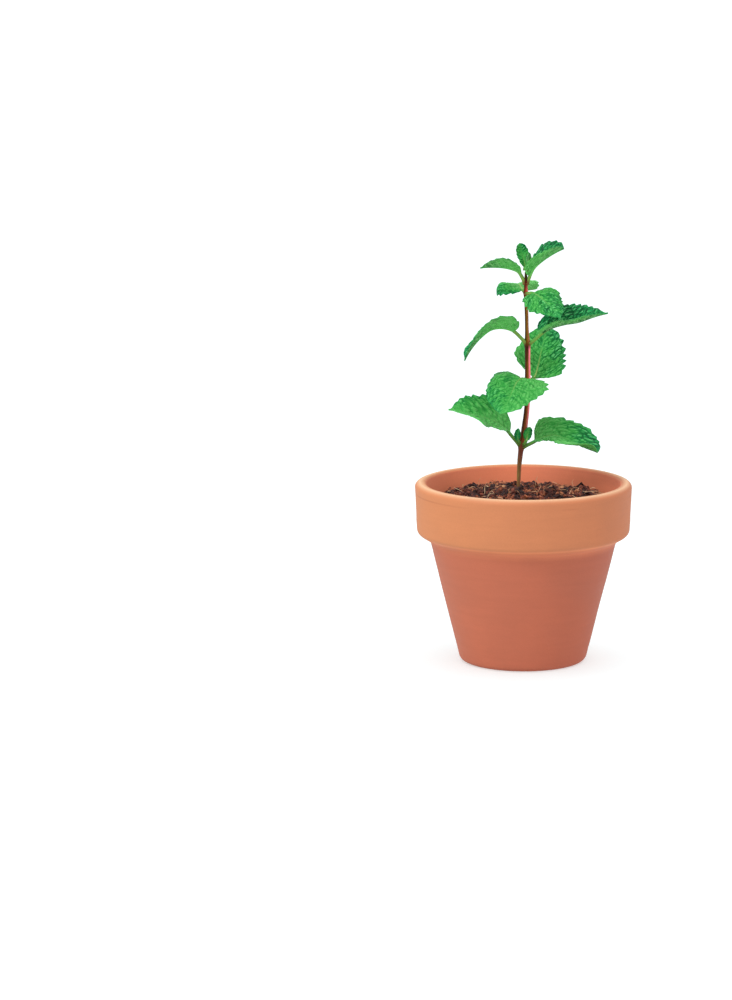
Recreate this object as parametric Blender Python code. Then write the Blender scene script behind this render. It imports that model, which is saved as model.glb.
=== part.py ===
"""A young mint plant in a small terracotta pot.

The pot is a turned clay pot with a heavy rim. It is filled with a chunky coir and
bark mix, and one thin stem stands in the mix. The leaves sit on the stem in crossed
pairs. Each leaf is one thin blade with its stalk, with saw teeth along both margins.

The origin is on the pot's axis, on the surface it stands on. X runs to the right,
Y runs away from the viewer and Z runs up. The pot and the mix are in metres. The stem
and the leaves are laid out in millimetres, and turned to metres as they are built.
"""
import math
import random

import bmesh
import bpy
import numpy as np

MM = 0.001

# Pot
RIM_RADIUS = 42.6 * MM
RIM_FOOT_RADIUS = 41.75 * MM
RIM_HEIGHT = 20.5 * MM
POT_HEIGHT = 71.0 * MM
LIP_INNER_RADIUS = 38.3 * MM
SHOULDER_RADIUS = 36.7 * MM
SHOULDER_Z = 47.4 * MM
BASE_RADIUS = 24.65 * MM
FLOOR_THICKNESS = 5.0 * MM
FLOOR_INNER_RADIUS = 20.8 * MM
DRAIN_RADIUS = 5.0 * MM
RIM_TOP_ROUND = 2.0 * MM
RIM_FOOT_ROUND = 2.6 * MM
SHOULDER_ROUND = 1.5 * MM
LIP_ROUND = 1.3 * MM
BASE_ROUND = 2.75 * MM
INNER_FLOOR_ROUND = 4.0 * MM
DRAIN_ROUND = 0.6 * MM
POT_STEPS = 60
ARC_STEPS = 4
POT_SMOOTH_ANGLE = 40.0

# Clearance between pieces that touch
GAP = 0.3 * MM

# Growing mix
SOIL_EDGE_Z = 64.6 * MM
SOIL_MOUND = 2.6 * MM
SOIL_LUMP = 0.55 * MM
SOIL_RINGS = 9
SOIL_STEPS = 30
SOIL_SEED = 11
HOLE_SIDES = 16
HOLE_CLEARANCE = 0.45 * MM

# Stem: where its centre line runs, in millimetres, with its radius there
STEM_ROUTE = [
    (-2.0, 6.0, 54.5, 0.60),
    (-1.9, 6.0, 62.0, 0.62),
    (-1.9, 6.0, 67.9, 0.66),
    (-1.8, 6.0, 73.5, 0.75),
    (-1.5, 5.7, 78.5, 0.88),
    (-0.9, 5.5, 83.9, 1.05),
    (-0.4, 5.3, 87.5, 1.00),
    (0.4, 5.0, 92.5, 1.08),
    (1.3, 4.5, 100.5, 1.00),
    (1.5, 4.0, 110.5, 1.08),
    (1.4, 3.7, 118.3, 1.00),
    (1.3, 3.5, 125.0, 1.05),
    (1.1, 3.2, 130.0, 0.75),
    (0.9, 3.0, 137.5, 0.70),
    (0.6, 3.0, 145.4, 0.75),
    (0.6, 3.0, 149.4, 0.60),
    (0.6, 3.0, 154.0, 0.48),
]
STEM_SIDES = 8
STEM_STEPS = 30
STEM_SMOOTH_ANGLE = 60.0

# Blades and stalks, in millimetres
BLADE_THICKNESS = 0.6
RIB_DEPTH = 0.35
TOOTH_DEPTH = 0.65
TOOTH_SHARE = 0.07
TOOTH_LEAN = 0.7
NOTCH_RATE = 1.5
POINTS_ACROSS = 5
STALK_STATIONS = (0.0, 0.35, 0.7)
STALK_RADIUS_LEAST = 0.2
STALK_RADIUS_MOST = 0.5
STALK_RADIUS_PER_LENGTH = 0.03
OPENING_LENGTH = 0.5
OPENING_RATE = 2.5
TIP_TAPER = 0.5
GROWN_FULLNESS = (0.40, 0.80)

# How finely curves are followed, in millimetres where they are lengths
CURVE_POINTS = 240
BEND_STEPS = 5
LOOK_AHEAD = 0.4
RING_POINTS = 12
STALK_SEARCH_LENGTH = 4.0
STALK_SEARCH_STEP = 0.05

# Colours, linear, and how dull each finish is
TERRACOTTA = (0.565, 0.195, 0.095, 1.0)
SOIL_BROWN = (0.052, 0.020, 0.013, 1.0)
STEM_BROWN = (0.125, 0.040, 0.022, 1.0)
LEAF_GREEN = (0.045, 0.290, 0.065, 1.0)
YOUNG_GREEN = (0.070, 0.340, 0.075, 1.0)
CLAY_ROUGHNESS = 0.85
SOIL_ROUGHNESS = 0.95
STEM_ROUGHNESS = 0.5
LEAF_ROUGHNESS = 0.45

# Each leaf, in millimetres and degrees. Left and right are those of someone who looks
# along the leaf to its tip with the upper face up. A list with several entries gives
# them at even steps from the blade's base to its tip.
#   route: the midline, from the middle of the stem to the tip
#   stalk: how much of the midline is bare stalk
#   halves: the greatest half width on the left and on the right of the rib
#   faces: the way the upper face looks
#   folds: how steeply the left and the right half rise from the rib
#   arches: how far each half bends down again on its way to the margin
#   curl: 1 bends a half evenly, and more bends it near the margin only
#   lobes: how far the blade's base sweeps back along the stalk, as a share of its width
#   teeth: saw teeth along each margin
#   fullness: how sharply the outline closes at its base and at its tip, less is blunter
LEAVES = {
    "leaf_1_left": dict(
        route=[(-0.9, 5.5, 84.0), (-4.0, 3.8, 88.0), (-6.9, 2.0, 91.6), (-11.2, -1.0, 95.0),
               (-16.3, -4.0, 97.5), (-22.5, -7.0, 99.6), (-29.2, -9.0, 101.1)],
        stalk=7.8, halves=(9.5, 10.7), faces=[(0.35, -0.45, 0.80), (0.0, -0.35, 0.95)],
        folds=[(40, 38), (20, 34), (8, 30), (26, 28), (26, 25)], arches=[(10, 15), (10, 15)],
        teeth=9, lobes=(-0.10, 0.20)),
    "leaf_1_right": dict(
        route=[(-0.9, 5.5, 83.6), (2.9, 4.0, 85.8), (6.8, 2.0, 88.1), (11.5, 0.0, 89.6),
               (16.2, -2.5, 88.7), (21.0, -5.0, 87.0), (25.3, -6.2, 85.3), (28.9, -7.0, 84.1)],
        stalk=8.5, halves=(10.0, 10.0), faces=[(-0.25, -0.5, 0.85), (0.3, 0.1, 0.95)],
        folds=[(28, 38), (30, 14), (30, 20), (30, 36), (30, 38)], arches=[(20, 5), (10, 10)],
        teeth=9, lobes=(0.30, -0.10), fullness=(0.40, 0.62)),
    "leaf_2_front": dict(
        route=[(1.5, 4.1, 110.6), (-0.5, 1.2, 111.8), (-2.3, -1.5, 111.2), (-4.2, -7.0, 108.5),
               (-5.7, -12.0, 105.7), (-7.3, -16.0, 103.2), (-9.2, -19.0, 100.8)],
        stalk=5.2, halves=(13.5, 11.5), faces=[(0.0, 0.0, 1.0), (-0.1, 0.0, 1.0)],
        folds=[(14, 47), (13, 40), (4, 18)], arches=[(25, 80), (22, 65), (12, 30)],
        teeth=9, lobes=(0.15, 0.70)),
    "leaf_2_back": dict(
        route=[(1.5, 4.1, 110.4), (2.8, 6.2, 110.6), (4.1, 8.5, 111.4), (5.5, 13.0, 115.0),
               (6.7, 17.5, 119.8), (8.0, 22.0, 125.0), (9.2, 26.0, 129.5)],
        stalk=4.5, halves=(9.8, 11.3), faces=[(0.0, -0.6, 0.7), (0.0, -0.6, 0.7)],
        folds=[(12, 12), (10, 10)], arches=[(25, 15), (15, 15)], teeth=9,
        lobes=(-0.45, -0.25), fullness=(0.45, 0.68)),
    "leaf_3_left": dict(
        route=[(1.3, 3.5, 124.9), (-1.6, 2.5, 128.2), (-4.0, 1.5, 130.5), (-8.2, 0.0, 132.0),
               (-12.5, -1.0, 131.6), (-17.2, -2.5, 128.2), (-20.6, -3.5, 124.1),
               (-23.3, -4.0, 119.6)],
        stalk=8.0, halves=(8.0, 8.0), faces=[(-0.05, 0.25, 0.95), (-0.55, 0.1, 0.8)],
        folds=[(33, 30), (24, 25), (6, 12)], arches=[(10, 10), (5, 5)], teeth=10,
        lobes=(0.20, 0.20)),
    "leaf_3_right": dict(
        route=[(1.3, 3.5, 124.7), (4.0, 3.0, 127.2), (6.6, 2.5, 129.8), (10.1, 1.5, 132.5),
               (15.1, 0.0, 134.3), (20.9, -2.0, 135.5), (26.7, -4.0, 137.4), (32.4, -5.0, 138.8)],
        stalk=8.0, halves=(9.5, 8.5), faces=[(-0.2, -0.2, 0.95), (-0.1, -0.2, 0.95)],
        folds=[(33, 18), (30, 22)], arches=[(15, 15), (10, 10)], teeth=10, lobes=(0.60, 0.30)),
    "leaf_4_front": dict(
        route=[(0.6, 3.0, 145.0), (2.4, 0.5, 145.7), (4.5, -2.5, 145.4), (7.2, -7.0, 143.9),
               (9.9, -11.0, 142.0), (12.2, -14.0, 139.9), (14.0, -16.0, 137.8)],
        stalk=5.2, halves=(8.3, 8.6), faces=[(0.1, -0.2, 1.0), (0.2, -0.2, 1.0)],
        folds=[(38, -4), (24, -12), (20, -2)], arches=[(60, 15), (45, 10), (30, 10)], teeth=9,
        lobes=(0.50, 0.10)),
    "leaf_4_back": dict(
        route=[(0.6, 3.0, 145.2), (-0.1, 5.2, 145.7), (-1.1, 8.0, 146.6), (-1.9, 11.5, 147.4),
               (-2.9, 15.5, 147.2), (-3.8, 19.5, 146.0), (-4.7, 23.0, 144.0)],
        stalk=3.5, halves=(10.4, 7.0), faces=[(0.0, 0.0, 1.0), (0.0, 0.0, 1.0)],
        folds=[(6, 20), (6, 15)], arches=[(120, 20), (100, 15)], curl=2.6, teeth=8,
        lobes=(0.25, 0.25)),
    "leaf_5_left": dict(
        route=[(0.6, 3.0, 149.0), (-0.8, 2.5, 151.6), (-2.3, 2.0, 153.6), (-5.2, 1.0, 155.0),
               (-8.7, 0.0, 155.7), (-12.6, -1.0, 155.9), (-17.1, -2.0, 155.7)],
        stalk=5.0, halves=(5.2, 5.2), faces=[(0.1, 0.3, 0.9), (0.0, 0.3, 0.9)],
        folds=[(35, 35), (30, 30)], arches=[(10, 10), (10, 10)], teeth=8, fullness=(0.9, 0.8)),
    "leaf_5_right": dict(
        route=[(0.6, 3.0, 149.0), (2.1, 2.5, 152.3), (3.7, 2.0, 155.1), (6.4, 1.0, 157.8),
               (9.5, 0.5, 160.0), (12.6, 0.0, 161.8), (15.3, -0.5, 163.1)],
        stalk=3.3, halves=(8.0, 5.2), faces=[(-0.5, 0.25, 0.8), (-0.2, 0.2, 0.9)],
        folds=[(45, 35), (48, 30)], arches=[(10, 10), (10, 10)], teeth=8, fullness=(0.4, 0.4)),
    "leaf_6_back": dict(
        route=[(0.3, 3.4, 154.0), (0.2, 3.7, 156.0), (-0.2, 3.9, 158.0), (-1.0, 4.0, 161.1),
               (-1.9, 3.0, 164.6)],
        stalk=2.0, halves=(2.3, 2.7), faces=[(0.0, -1.0, 0.1), (0.0, -1.0, 0.1)],
        folds=[(25, 25), (15, 15)], arches=[(10, 10), (10, 10)], teeth=6, fullness=(0.6, 0.45)),
    "leaf_6_front": dict(
        route=[(1.0, 2.6, 154.0), (1.4, 2.2, 156.2), (1.6, 2.4, 158.2), (1.8, 2.8, 161.1)],
        stalk=2.2, halves=(1.2, 1.2), faces=[(0.0, 1.0, 0.1), (0.0, 1.0, 0.1)],
        folds=[(25, 25), (15, 15)], arches=[(10, 10), (10, 10)], teeth=4, fullness=(0.6, 0.6)),
    "axil_leaf_left": dict(
        route=[(-0.9, 5.0, 85.4), (-1.9, 3.8, 86.4), (-2.4, 3.4, 88.8), (-2.1, 3.0, 91.7)],
        stalk=2.2, halves=(1.4, 1.4), faces=[(0.0, -1.0, 0.2), (0.0, -1.0, 0.2)],
        folds=[(20, 20), (15, 15)], arches=[(10, 10), (10, 10)], teeth=3, fullness=(0.6, 0.6)),
    "axil_leaf_right": dict(
        route=[(-0.6, 5.0, 84.6), (0.5, 3.8, 85.6), (1.1, 3.0, 87.2), (1.6, 2.8, 89.5),
               (2.5, 2.8, 92.3)],
        stalk=3.6, halves=(1.8, 1.8), faces=[(0.0, -1.0, 0.2), (0.0, -1.0, 0.2)],
        folds=[(20, 20), (15, 15)], arches=[(10, 10), (10, 10)], teeth=4, fullness=(0.5, 0.5)),
}
YOUNG_LEAVES = ("axil_leaf_left", "axil_leaf_right", "leaf_6_back", "leaf_6_front")


def empty_scene():
    for item in list(bpy.data.objects):
        bpy.data.objects.remove(item, do_unlink=True)


def finish_material(name, colour, roughness):
    """A plain finish with the part's own colour."""
    material = bpy.data.materials.new(name)
    material.use_nodes = True
    shader = material.node_tree.nodes["Principled BSDF"]
    shader.inputs["Base Color"].default_value = colour
    shader.inputs["Roughness"].default_value = roughness
    shader.inputs["Metallic"].default_value = 0.0
    material.diffuse_color = colour
    return material


def add_object(name, builder, material, smooth_angle=None):
    """Turn a finished bmesh into an object and give it its finish."""
    mesh = bpy.data.meshes.new(name)
    bmesh.ops.recalc_face_normals(builder, faces=builder.faces)
    builder.to_mesh(mesh)
    builder.free()
    mesh.materials.append(material)
    if smooth_angle is not None:
        mesh.shade_smooth()
        mesh.set_sharp_from_angle(angle=math.radians(smooth_angle))
    item = bpy.data.objects.new(name, mesh)
    bpy.context.scene.collection.objects.link(item)
    return item


def rounded_outline(corners):
    """The corner points (r, z, rounding) as an outline with an arc at each corner."""
    outline = []
    for index, (r, z, rounding) in enumerate(corners):
        here = np.array((r, z))
        before = unit(np.array(corners[index - 1][:2]) - here)
        after = unit(np.array(corners[(index + 1) % len(corners)][:2]) - here)
        half_angle = math.acos(float(before @ after)) / 2.0
        middle = here + unit(before + after) * rounding / math.sin(half_angle)
        start = here + before * rounding / math.tan(half_angle) - middle
        turn = math.pi - 2.0 * half_angle
        if start[1] * before[0] - start[0] * before[1] < 0.0:
            turn = -turn
        for step in range(ARC_STEPS + 1):
            angle = turn * step / ARC_STEPS
            c, s = math.cos(angle), math.sin(angle)
            outline.append((middle[0] + c * start[0] - s * start[1],
                            middle[1] + s * start[0] + c * start[1]))
    return outline


def inner_radius(z):
    """The radius of the pot's inner wall at a height."""
    share = (z - FLOOR_THICKNESS) / (POT_HEIGHT - FLOOR_THICKNESS)
    return FLOOR_INNER_RADIUS + (LIP_INNER_RADIUS - FLOOR_INNER_RADIUS) * share


def make_pot(material):
    """One outline, turned about the pot's axis."""
    corners = [
        (DRAIN_RADIUS, 0.0, DRAIN_ROUND),
        (BASE_RADIUS, 0.0, BASE_ROUND),
        (SHOULDER_RADIUS, SHOULDER_Z, SHOULDER_ROUND),
        (RIM_FOOT_RADIUS, POT_HEIGHT - RIM_HEIGHT, RIM_FOOT_ROUND),
        (RIM_RADIUS, POT_HEIGHT, RIM_TOP_ROUND),
        (LIP_INNER_RADIUS, POT_HEIGHT, LIP_ROUND),
        (FLOOR_INNER_RADIUS, FLOOR_THICKNESS, INNER_FLOOR_ROUND),
        (DRAIN_RADIUS, FLOOR_THICKNESS, DRAIN_ROUND),
    ]
    builder = bmesh.new()
    outline = [builder.verts.new((r, 0.0, z)) for r, z in rounded_outline(corners)]
    edges = [builder.edges.new((a, b)) for a, b in zip(outline, outline[1:] + outline[:1])]
    bmesh.ops.spin(builder, geom=outline + edges, cent=(0, 0, 0), axis=(0, 0, 1),
                   angle=2.0 * math.pi, steps=POT_STEPS, use_merge=True)
    return add_object("pot", builder, material, POT_SMOOTH_ANGLE)


def soil_rings():
    """The radius and height of each ring of the mix, from the floor up and then inwards."""
    bottom_z = FLOOR_THICKNESS + GAP
    wall_z = bottom_z + INNER_FLOOR_ROUND
    slope = (LIP_INNER_RADIUS - FLOOR_INNER_RADIUS) / (POT_HEIGHT - FLOOR_THICKNESS)
    flat_sides = RIM_RADIUS * (1.0 - math.cos(math.pi / POT_STEPS))
    clearance = GAP * math.hypot(1.0, slope) + flat_sides
    top_radius = inner_radius(SOIL_EDGE_Z) - clearance
    rings = [(inner_radius(wall_z) - INNER_FLOOR_ROUND, bottom_z),
             (inner_radius(wall_z) - clearance, wall_z)]
    for ring in range(SOIL_RINGS):
        share = 1.0 - ring / SOIL_RINGS
        rings.append((top_radius * share, SOIL_EDGE_Z + SOIL_MOUND * math.cos(share * math.pi / 2.0)))
    return rings


def make_soil(material):
    """The mix fills the pot and has a lumpy, slightly mounded top with the stem's hole."""
    rng = random.Random(SOIL_SEED)
    builder = bmesh.new()
    loops = []
    for index, (radius, z) in enumerate(soil_rings()):
        loop = []
        for step in range(SOIL_STEPS):
            angle = 2.0 * math.pi * (step + 0.5 * (index % 2)) / SOIL_STEPS
            lift = rng.uniform(-SOIL_LUMP, SOIL_LUMP) if index > 2 else 0.0
            loop.append(builder.verts.new((radius * math.cos(angle), radius * math.sin(angle), z + lift)))
        loops.append(loop)
    for lower, upper in zip(loops, loops[1:]):
        for step in range(SOIL_STEPS):
            after = (step + 1) % SOIL_STEPS
            builder.faces.new((lower[step], lower[after], upper[after]))
            builder.faces.new((lower[step], upper[after], upper[step]))
    builder.faces.new(loops[0])
    peak = builder.verts.new((0.0, 0.0, SOIL_EDGE_Z + SOIL_MOUND))
    for step in range(SOIL_STEPS):
        builder.faces.new((loops[-1][step], loops[-1][(step + 1) % SOIL_STEPS], peak))
    soil = add_object("soil", builder, material)

    foot_x, foot_y, _, foot_radius = STEM_ROUTE[2]
    hole_bottom = STEM_ROUTE[0][2] * MM - GAP
    bpy.ops.mesh.primitive_cylinder_add(
        vertices=HOLE_SIDES, radius=foot_radius * MM + HOLE_CLEARANCE, depth=POT_HEIGHT - hole_bottom,
        location=(foot_x * MM, foot_y * MM, (POT_HEIGHT + hole_bottom) / 2.0))
    cutter = bpy.context.object
    cutter.name = "stem_hole_cutter"
    cutter.hide_render = True
    cutter.display_type = "WIRE"
    hole = soil.modifiers.new("stem hole", "BOOLEAN")
    hole.operation = "DIFFERENCE"
    hole.object = cutter
    return soil


def smooth_route(points):
    """A smooth curve through the points, as close points with their distances along it."""
    points = np.array(points, dtype=float)
    knots = np.concatenate(([0.0], np.cumsum(np.linalg.norm(np.diff(points[:, :3], axis=0), axis=1))))
    slopes = np.gradient(points, knots, axis=0)
    places = np.linspace(0.0, knots[-1], CURVE_POINTS)
    span = np.clip(np.searchsorted(knots, places, side="right") - 1, 0, len(knots) - 2)
    length = (knots[span + 1] - knots[span])[:, None]
    u = (places - knots[span])[:, None] / length
    curve = ((2 * u**3 - 3 * u**2 + 1) * points[span] + (u**3 - 2 * u**2 + u) * length * slopes[span]
             + (3 * u**2 - 2 * u**3) * points[span + 1] + (u**3 - u**2) * length * slopes[span + 1])
    steps = np.linalg.norm(np.diff(curve[:, :3], axis=0), axis=1)
    return curve, np.concatenate(([0.0], np.cumsum(steps)))


def at_distance(curve, distances, wanted):
    """Read the curve at the wanted distances along it."""
    return np.stack([np.interp(wanted, distances, column) for column in curve.T], axis=1)


def unit(vectors):
    return vectors / np.linalg.norm(vectors, axis=-1, keepdims=True)


def along(values, shares):
    """Values given at even steps from base to tip, read at shares of the way."""
    values = np.array(values, dtype=float)
    marks = np.linspace(0.0, 1.0, len(values))
    return np.stack([np.interp(shares, marks, column) for column in values.T], axis=1)


def make_stem(material):
    """A tapered tube along the stem's route, thicker where leaves sit."""
    curve, distances = smooth_route(STEM_ROUTE)
    rows = at_distance(curve, distances, np.linspace(0.0, distances[-1], STEM_STEPS))
    centres, radii = rows[:, :3] * MM, rows[:, 3] * MM
    tangents = unit(np.gradient(centres, axis=0))
    side = unit(np.cross(tangents, np.array((0.0, 1.0, 0.0))))
    front = np.cross(side, tangents)
    builder = bmesh.new()
    loops = []
    for row in range(STEM_STEPS):
        loop = []
        for step in range(STEM_SIDES):
            angle = 2.0 * math.pi * (step + 0.5) / STEM_SIDES
            offset = radii[row] * (math.cos(angle) * side[row] + math.sin(angle) * front[row])
            loop.append(builder.verts.new(centres[row] + offset))
        loops.append(loop)
    for lower, upper in zip(loops, loops[1:]):
        for step in range(STEM_SIDES):
            after = (step + 1) % STEM_SIDES
            builder.faces.new((lower[step], lower[after], upper[after], upper[step]))
    builder.faces.new(loops[0])
    builder.faces.new(loops[-1])
    return add_object("stem", builder, material, STEM_SMOOTH_ANGLE)


def stalk_start(curve, distances, radius):
    """How far along its midline a stalk starts, to stay clear of the stem."""
    stem, _ = smooth_route(STEM_ROUTE)
    turns = np.linspace(0.0, 2.0 * math.pi, RING_POINTS, endpoint=False)
    for place in np.arange(0.0, STALK_SEARCH_LENGTH, STALK_SEARCH_STEP):
        centre, ahead = at_distance(curve, distances, np.array((place, place + LOOK_AHEAD)))
        tangent = unit(ahead - centre)
        side = unit(np.cross(tangent, np.array((0.3, 1.0, 0.1))))
        ring = centre + radius * (np.outer(np.cos(turns), side)
                                  + np.outer(np.sin(turns), np.cross(tangent, side)))
        spaces = np.linalg.norm(ring[:, None, :] - stem[None, :, :3], axis=2) - stem[None, :, 3]
        if spaces.min() >= GAP / MM:
            return place
    raise ValueError("a stalk never clears the stem")


def leaf_stations(leaf, start, length):
    """Distances along the midline where sections stand, and which are notches."""
    stalk = leaf["stalk"]
    tooth_length = (length - stalk) / leaf["teeth"]
    stations = [(start + (stalk - start) * share, False) for share in STALK_STATIONS]
    for tooth in range(leaf["teeth"]):
        stations.append((stalk + tooth_length * tooth, True))
        stations.append((stalk + tooth_length * (tooth + TOOTH_LEAN), False))
    stations.append((length, False))
    return np.array([place for place, _ in stations]), [notch for _, notch in stations]


def blade_outline(share, fullness):
    """Half width of the blade, as a share of its greatest, from base to tip."""
    at_base, at_tip = fullness
    peak = at_base / (at_base + at_tip)
    top = peak**at_base * (1.0 - peak)**at_tip
    return share**at_base * (1.0 - share)**at_tip / top


def half_section(across, width, fold, arch, curl):
    """How far out and up from the rib a point of the blade lies, and the blade's tilt there."""
    if across == 0.0:
        return np.zeros(2), 0.0
    side = math.copysign(1.0, across)
    bends = fold - arch * np.linspace(0.0, abs(across), BEND_STEPS + 1) ** curl
    middle = (bends[1:] + bends[:-1]) / 2.0
    out = width * across * float(np.mean(np.cos(middle)))
    rise = width * abs(across) * float(np.mean(np.sin(middle)))
    return np.array((out, rise)), float(bends[-1]) * side


def leaf_sections(leaf):
    """Upper and lower rows of points across the leaf, one pair for each station."""
    curve, distances = smooth_route(leaf["route"])
    length = distances[-1]
    stalk_radius = min(STALK_RADIUS_MOST, STALK_RADIUS_LEAST + STALK_RADIUS_PER_LENGTH * length)
    places, notches = leaf_stations(leaf, stalk_start(curve, distances, stalk_radius), length)
    centres = at_distance(curve, distances, places)
    ahead = at_distance(curve, distances, np.minimum(places + LOOK_AHEAD, length))
    behind = at_distance(curve, distances, np.maximum(places - LOOK_AHEAD, 0.0))
    tangents = unit(ahead - behind)
    shares = np.clip((places - leaf["stalk"]) / (length - leaf["stalk"]), 0.0, 1.0)
    faces = unit(along(leaf["faces"], shares))
    normals = unit(faces - np.sum(faces * tangents, axis=1, keepdims=True) * tangents)
    rights = np.cross(tangents, normals)
    folds = np.radians(along(leaf["folds"], shares))
    arches = np.radians(along(leaf["arches"], shares))
    upper_rows, lower_rows = [], []
    for row, share in enumerate(shares):
        outline = blade_outline(share, leaf.get("fullness", GROWN_FULLNESS))
        in_blade = places[row] > leaf["stalk"] - OPENING_LENGTH
        opening = min(1.0, outline * OPENING_RATE) if in_blade else 0.0
        upper, lower = [], []
        for column in range(POINTS_ACROSS):
            across = 2.0 * column / (POINTS_ACROSS - 1) - 1.0
            side = 0 if across < 0.0 else 1
            width = leaf["halves"][side] * outline
            if notches[row]:
                width -= min(TOOTH_DEPTH, TOOTH_SHARE * width) * min(1.0, outline * NOTCH_RATE)
            width = max(width, stalk_radius * (1.0 - TIP_TAPER * share))
            flat, tilt = half_section(across, width, folds[row][side], arches[row][side],
                                      leaf.get("curl", 1.0))
            lean = np.array((-math.sin(tilt), math.cos(tilt)))
            rib = RIB_DEPTH * (1.0 - share) if across == 0.0 else 0.0
            blade_top = flat + lean * BLADE_THICKNESS / 2.0
            blade_bottom = flat - lean * (BLADE_THICKNESS / 2.0 + rib)
            angle = math.pi * (1.0 - (column + 0.5) / POINTS_ACROSS)
            round_top = stalk_radius * np.array((math.cos(angle), math.sin(angle)))
            round_bottom = round_top * (1.0, -1.0)
            top = round_top + (blade_top - round_top) * opening
            bottom = round_bottom + (blade_bottom - round_bottom) * opening
            sweep = leaf.get("lobes", (0.0, 0.0))[side] * width * across**2 * (1.0 - share)**3
            middle = centres[row] - sweep * tangents[row]
            upper.append(middle + top[0] * rights[row] + top[1] * normals[row])
            lower.append(middle + bottom[0] * rights[row] + bottom[1] * normals[row])
        upper_rows.append(upper)
        lower_rows.append(lower)
    return np.array(upper_rows) * MM, np.array(lower_rows) * MM


def make_leaf(name, leaf, material):
    """One closed blade with its stalk, split alike on both faces."""
    upper_rows, lower_rows = leaf_sections(leaf)
    builder = bmesh.new()
    upper = [[builder.verts.new(point) for point in row] for row in upper_rows]
    lower = [[builder.verts.new(point) for point in row] for row in lower_rows]
    last = POINTS_ACROSS - 1
    for row in range(len(upper) - 1):
        for sheet in (upper, lower):
            for column in range(last):
                a, b = sheet[row][column], sheet[row][column + 1]
                c, d = sheet[row + 1][column + 1], sheet[row + 1][column]
                if column < last // 2:
                    builder.faces.new((a, b, c))
                    builder.faces.new((a, c, d))
                else:
                    builder.faces.new((a, b, d))
                    builder.faces.new((b, c, d))
        for column in (0, last):
            a, b = upper[row][column], upper[row + 1][column]
            c, d = lower[row + 1][column], lower[row][column]
            builder.faces.new((a, b, c))
            builder.faces.new((a, c, d))
    for row in (0, -1):
        for column in range(last):
            a, b = upper[row][column], upper[row][column + 1]
            c, d = lower[row][column + 1], lower[row][column]
            builder.faces.new((a, b, c))
            builder.faces.new((a, c, d))
    return add_object(name, builder, material)


def main():
    empty_scene()
    make_pot(finish_material("terracotta", TERRACOTTA, CLAY_ROUGHNESS))
    make_soil(finish_material("soil", SOIL_BROWN, SOIL_ROUGHNESS))
    make_stem(finish_material("stem", STEM_BROWN, STEM_ROUGHNESS))
    grown_finish = finish_material("leaf", LEAF_GREEN, LEAF_ROUGHNESS)
    young_finish = finish_material("young leaf", YOUNG_GREEN, LEAF_ROUGHNESS)
    for name, leaf in LEAVES.items():
        make_leaf(name, leaf, young_finish if name in YOUNG_LEAVES else grown_finish)


main()
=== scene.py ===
import math
import random

import bpy
import numpy as np
from bpy.props import FloatProperty, FloatVectorProperty, IntProperty, PointerProperty
from mathutils import Matrix, Vector


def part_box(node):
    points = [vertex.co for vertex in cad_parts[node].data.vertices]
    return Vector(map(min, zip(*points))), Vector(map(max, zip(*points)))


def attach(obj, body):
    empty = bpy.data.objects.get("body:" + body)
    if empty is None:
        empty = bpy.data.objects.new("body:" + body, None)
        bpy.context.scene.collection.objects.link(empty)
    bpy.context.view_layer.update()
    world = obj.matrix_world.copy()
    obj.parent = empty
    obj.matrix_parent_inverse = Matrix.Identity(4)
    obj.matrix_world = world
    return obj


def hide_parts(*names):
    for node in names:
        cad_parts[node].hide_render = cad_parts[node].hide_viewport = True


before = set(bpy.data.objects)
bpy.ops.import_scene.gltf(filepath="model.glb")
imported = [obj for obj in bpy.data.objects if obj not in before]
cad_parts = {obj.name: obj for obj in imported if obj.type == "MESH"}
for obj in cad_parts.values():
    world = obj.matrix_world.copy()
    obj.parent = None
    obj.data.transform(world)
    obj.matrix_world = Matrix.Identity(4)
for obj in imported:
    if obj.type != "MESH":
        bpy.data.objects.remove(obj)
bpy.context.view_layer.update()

bl_info = {
    "name": "Potted mint",
    "version": (1, 0, 0),
    "blender": (4, 5, 0),
    "location": "View3D > Sidebar > Potted mint",
    "description": "Dresses the solids of a young mint plant in its terracotta pot",
    "category": "Object",
}

MM = 0.001
POT_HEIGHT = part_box("pot")[1].z / MM
BODY = "root"

# The pot's outline, in millimetres, within 1 mm of the solid's
RIM_FOOT_RADIUS = 41.75
RIM_HEIGHT = 19.8
LIP_INNER_RADIUS = 38.3
SHOULDER_RADIUS = 36.7
SHOULDER_Z = 48.2
BASE_RADIUS = 24.65
FLOOR_THICKNESS = 5.0
FLOOR_INNER_RADIUS = 20.8
DRAIN_RADIUS = 5.0
RIM_TOP_ROUND = 2.0
RIM_FOOT_ROUND = 2.6
SHOULDER_ROUND = 1.5
LIP_ROUND = 1.3
BASE_ROUND = 2.75
INNER_FLOOR_ROUND = 4.0
DRAIN_ROUND = 0.6
ARC_STEPS = 8
POT_STEPS = 200
OUTLINE_STEP = 1.6
TURNING_PITCH = 2.3
# Heights of the painted highlight along the rim's foot and of the painted light on the wall under it
RIM_FOOT_HIGHLIGHT_Z = 50.3
UNDER_RIM_LIGHT_Z = 48.9
LIP_EDGE_RADIUS = 40.5
LIP_EDGE_Z = 69.9

# The mix's surface, in millimetres, up to 1.5 mm lower at its edge than the solid's
GAP = 0.3
WALL_GAP = 0.36
MIX_EDGE_Z = 63.2
MIX_MOUND = 3.9
MIX_STEPS = 120
MIX_RINGS = 44
MIX_SEED = 5
CRUMB_SHAPES = 6
CRUMB_SIZES = (0.4, 1.15)
CHIP_SHAPES = 5
CHIP_SIZES = (0.5, 1.5)

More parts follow.
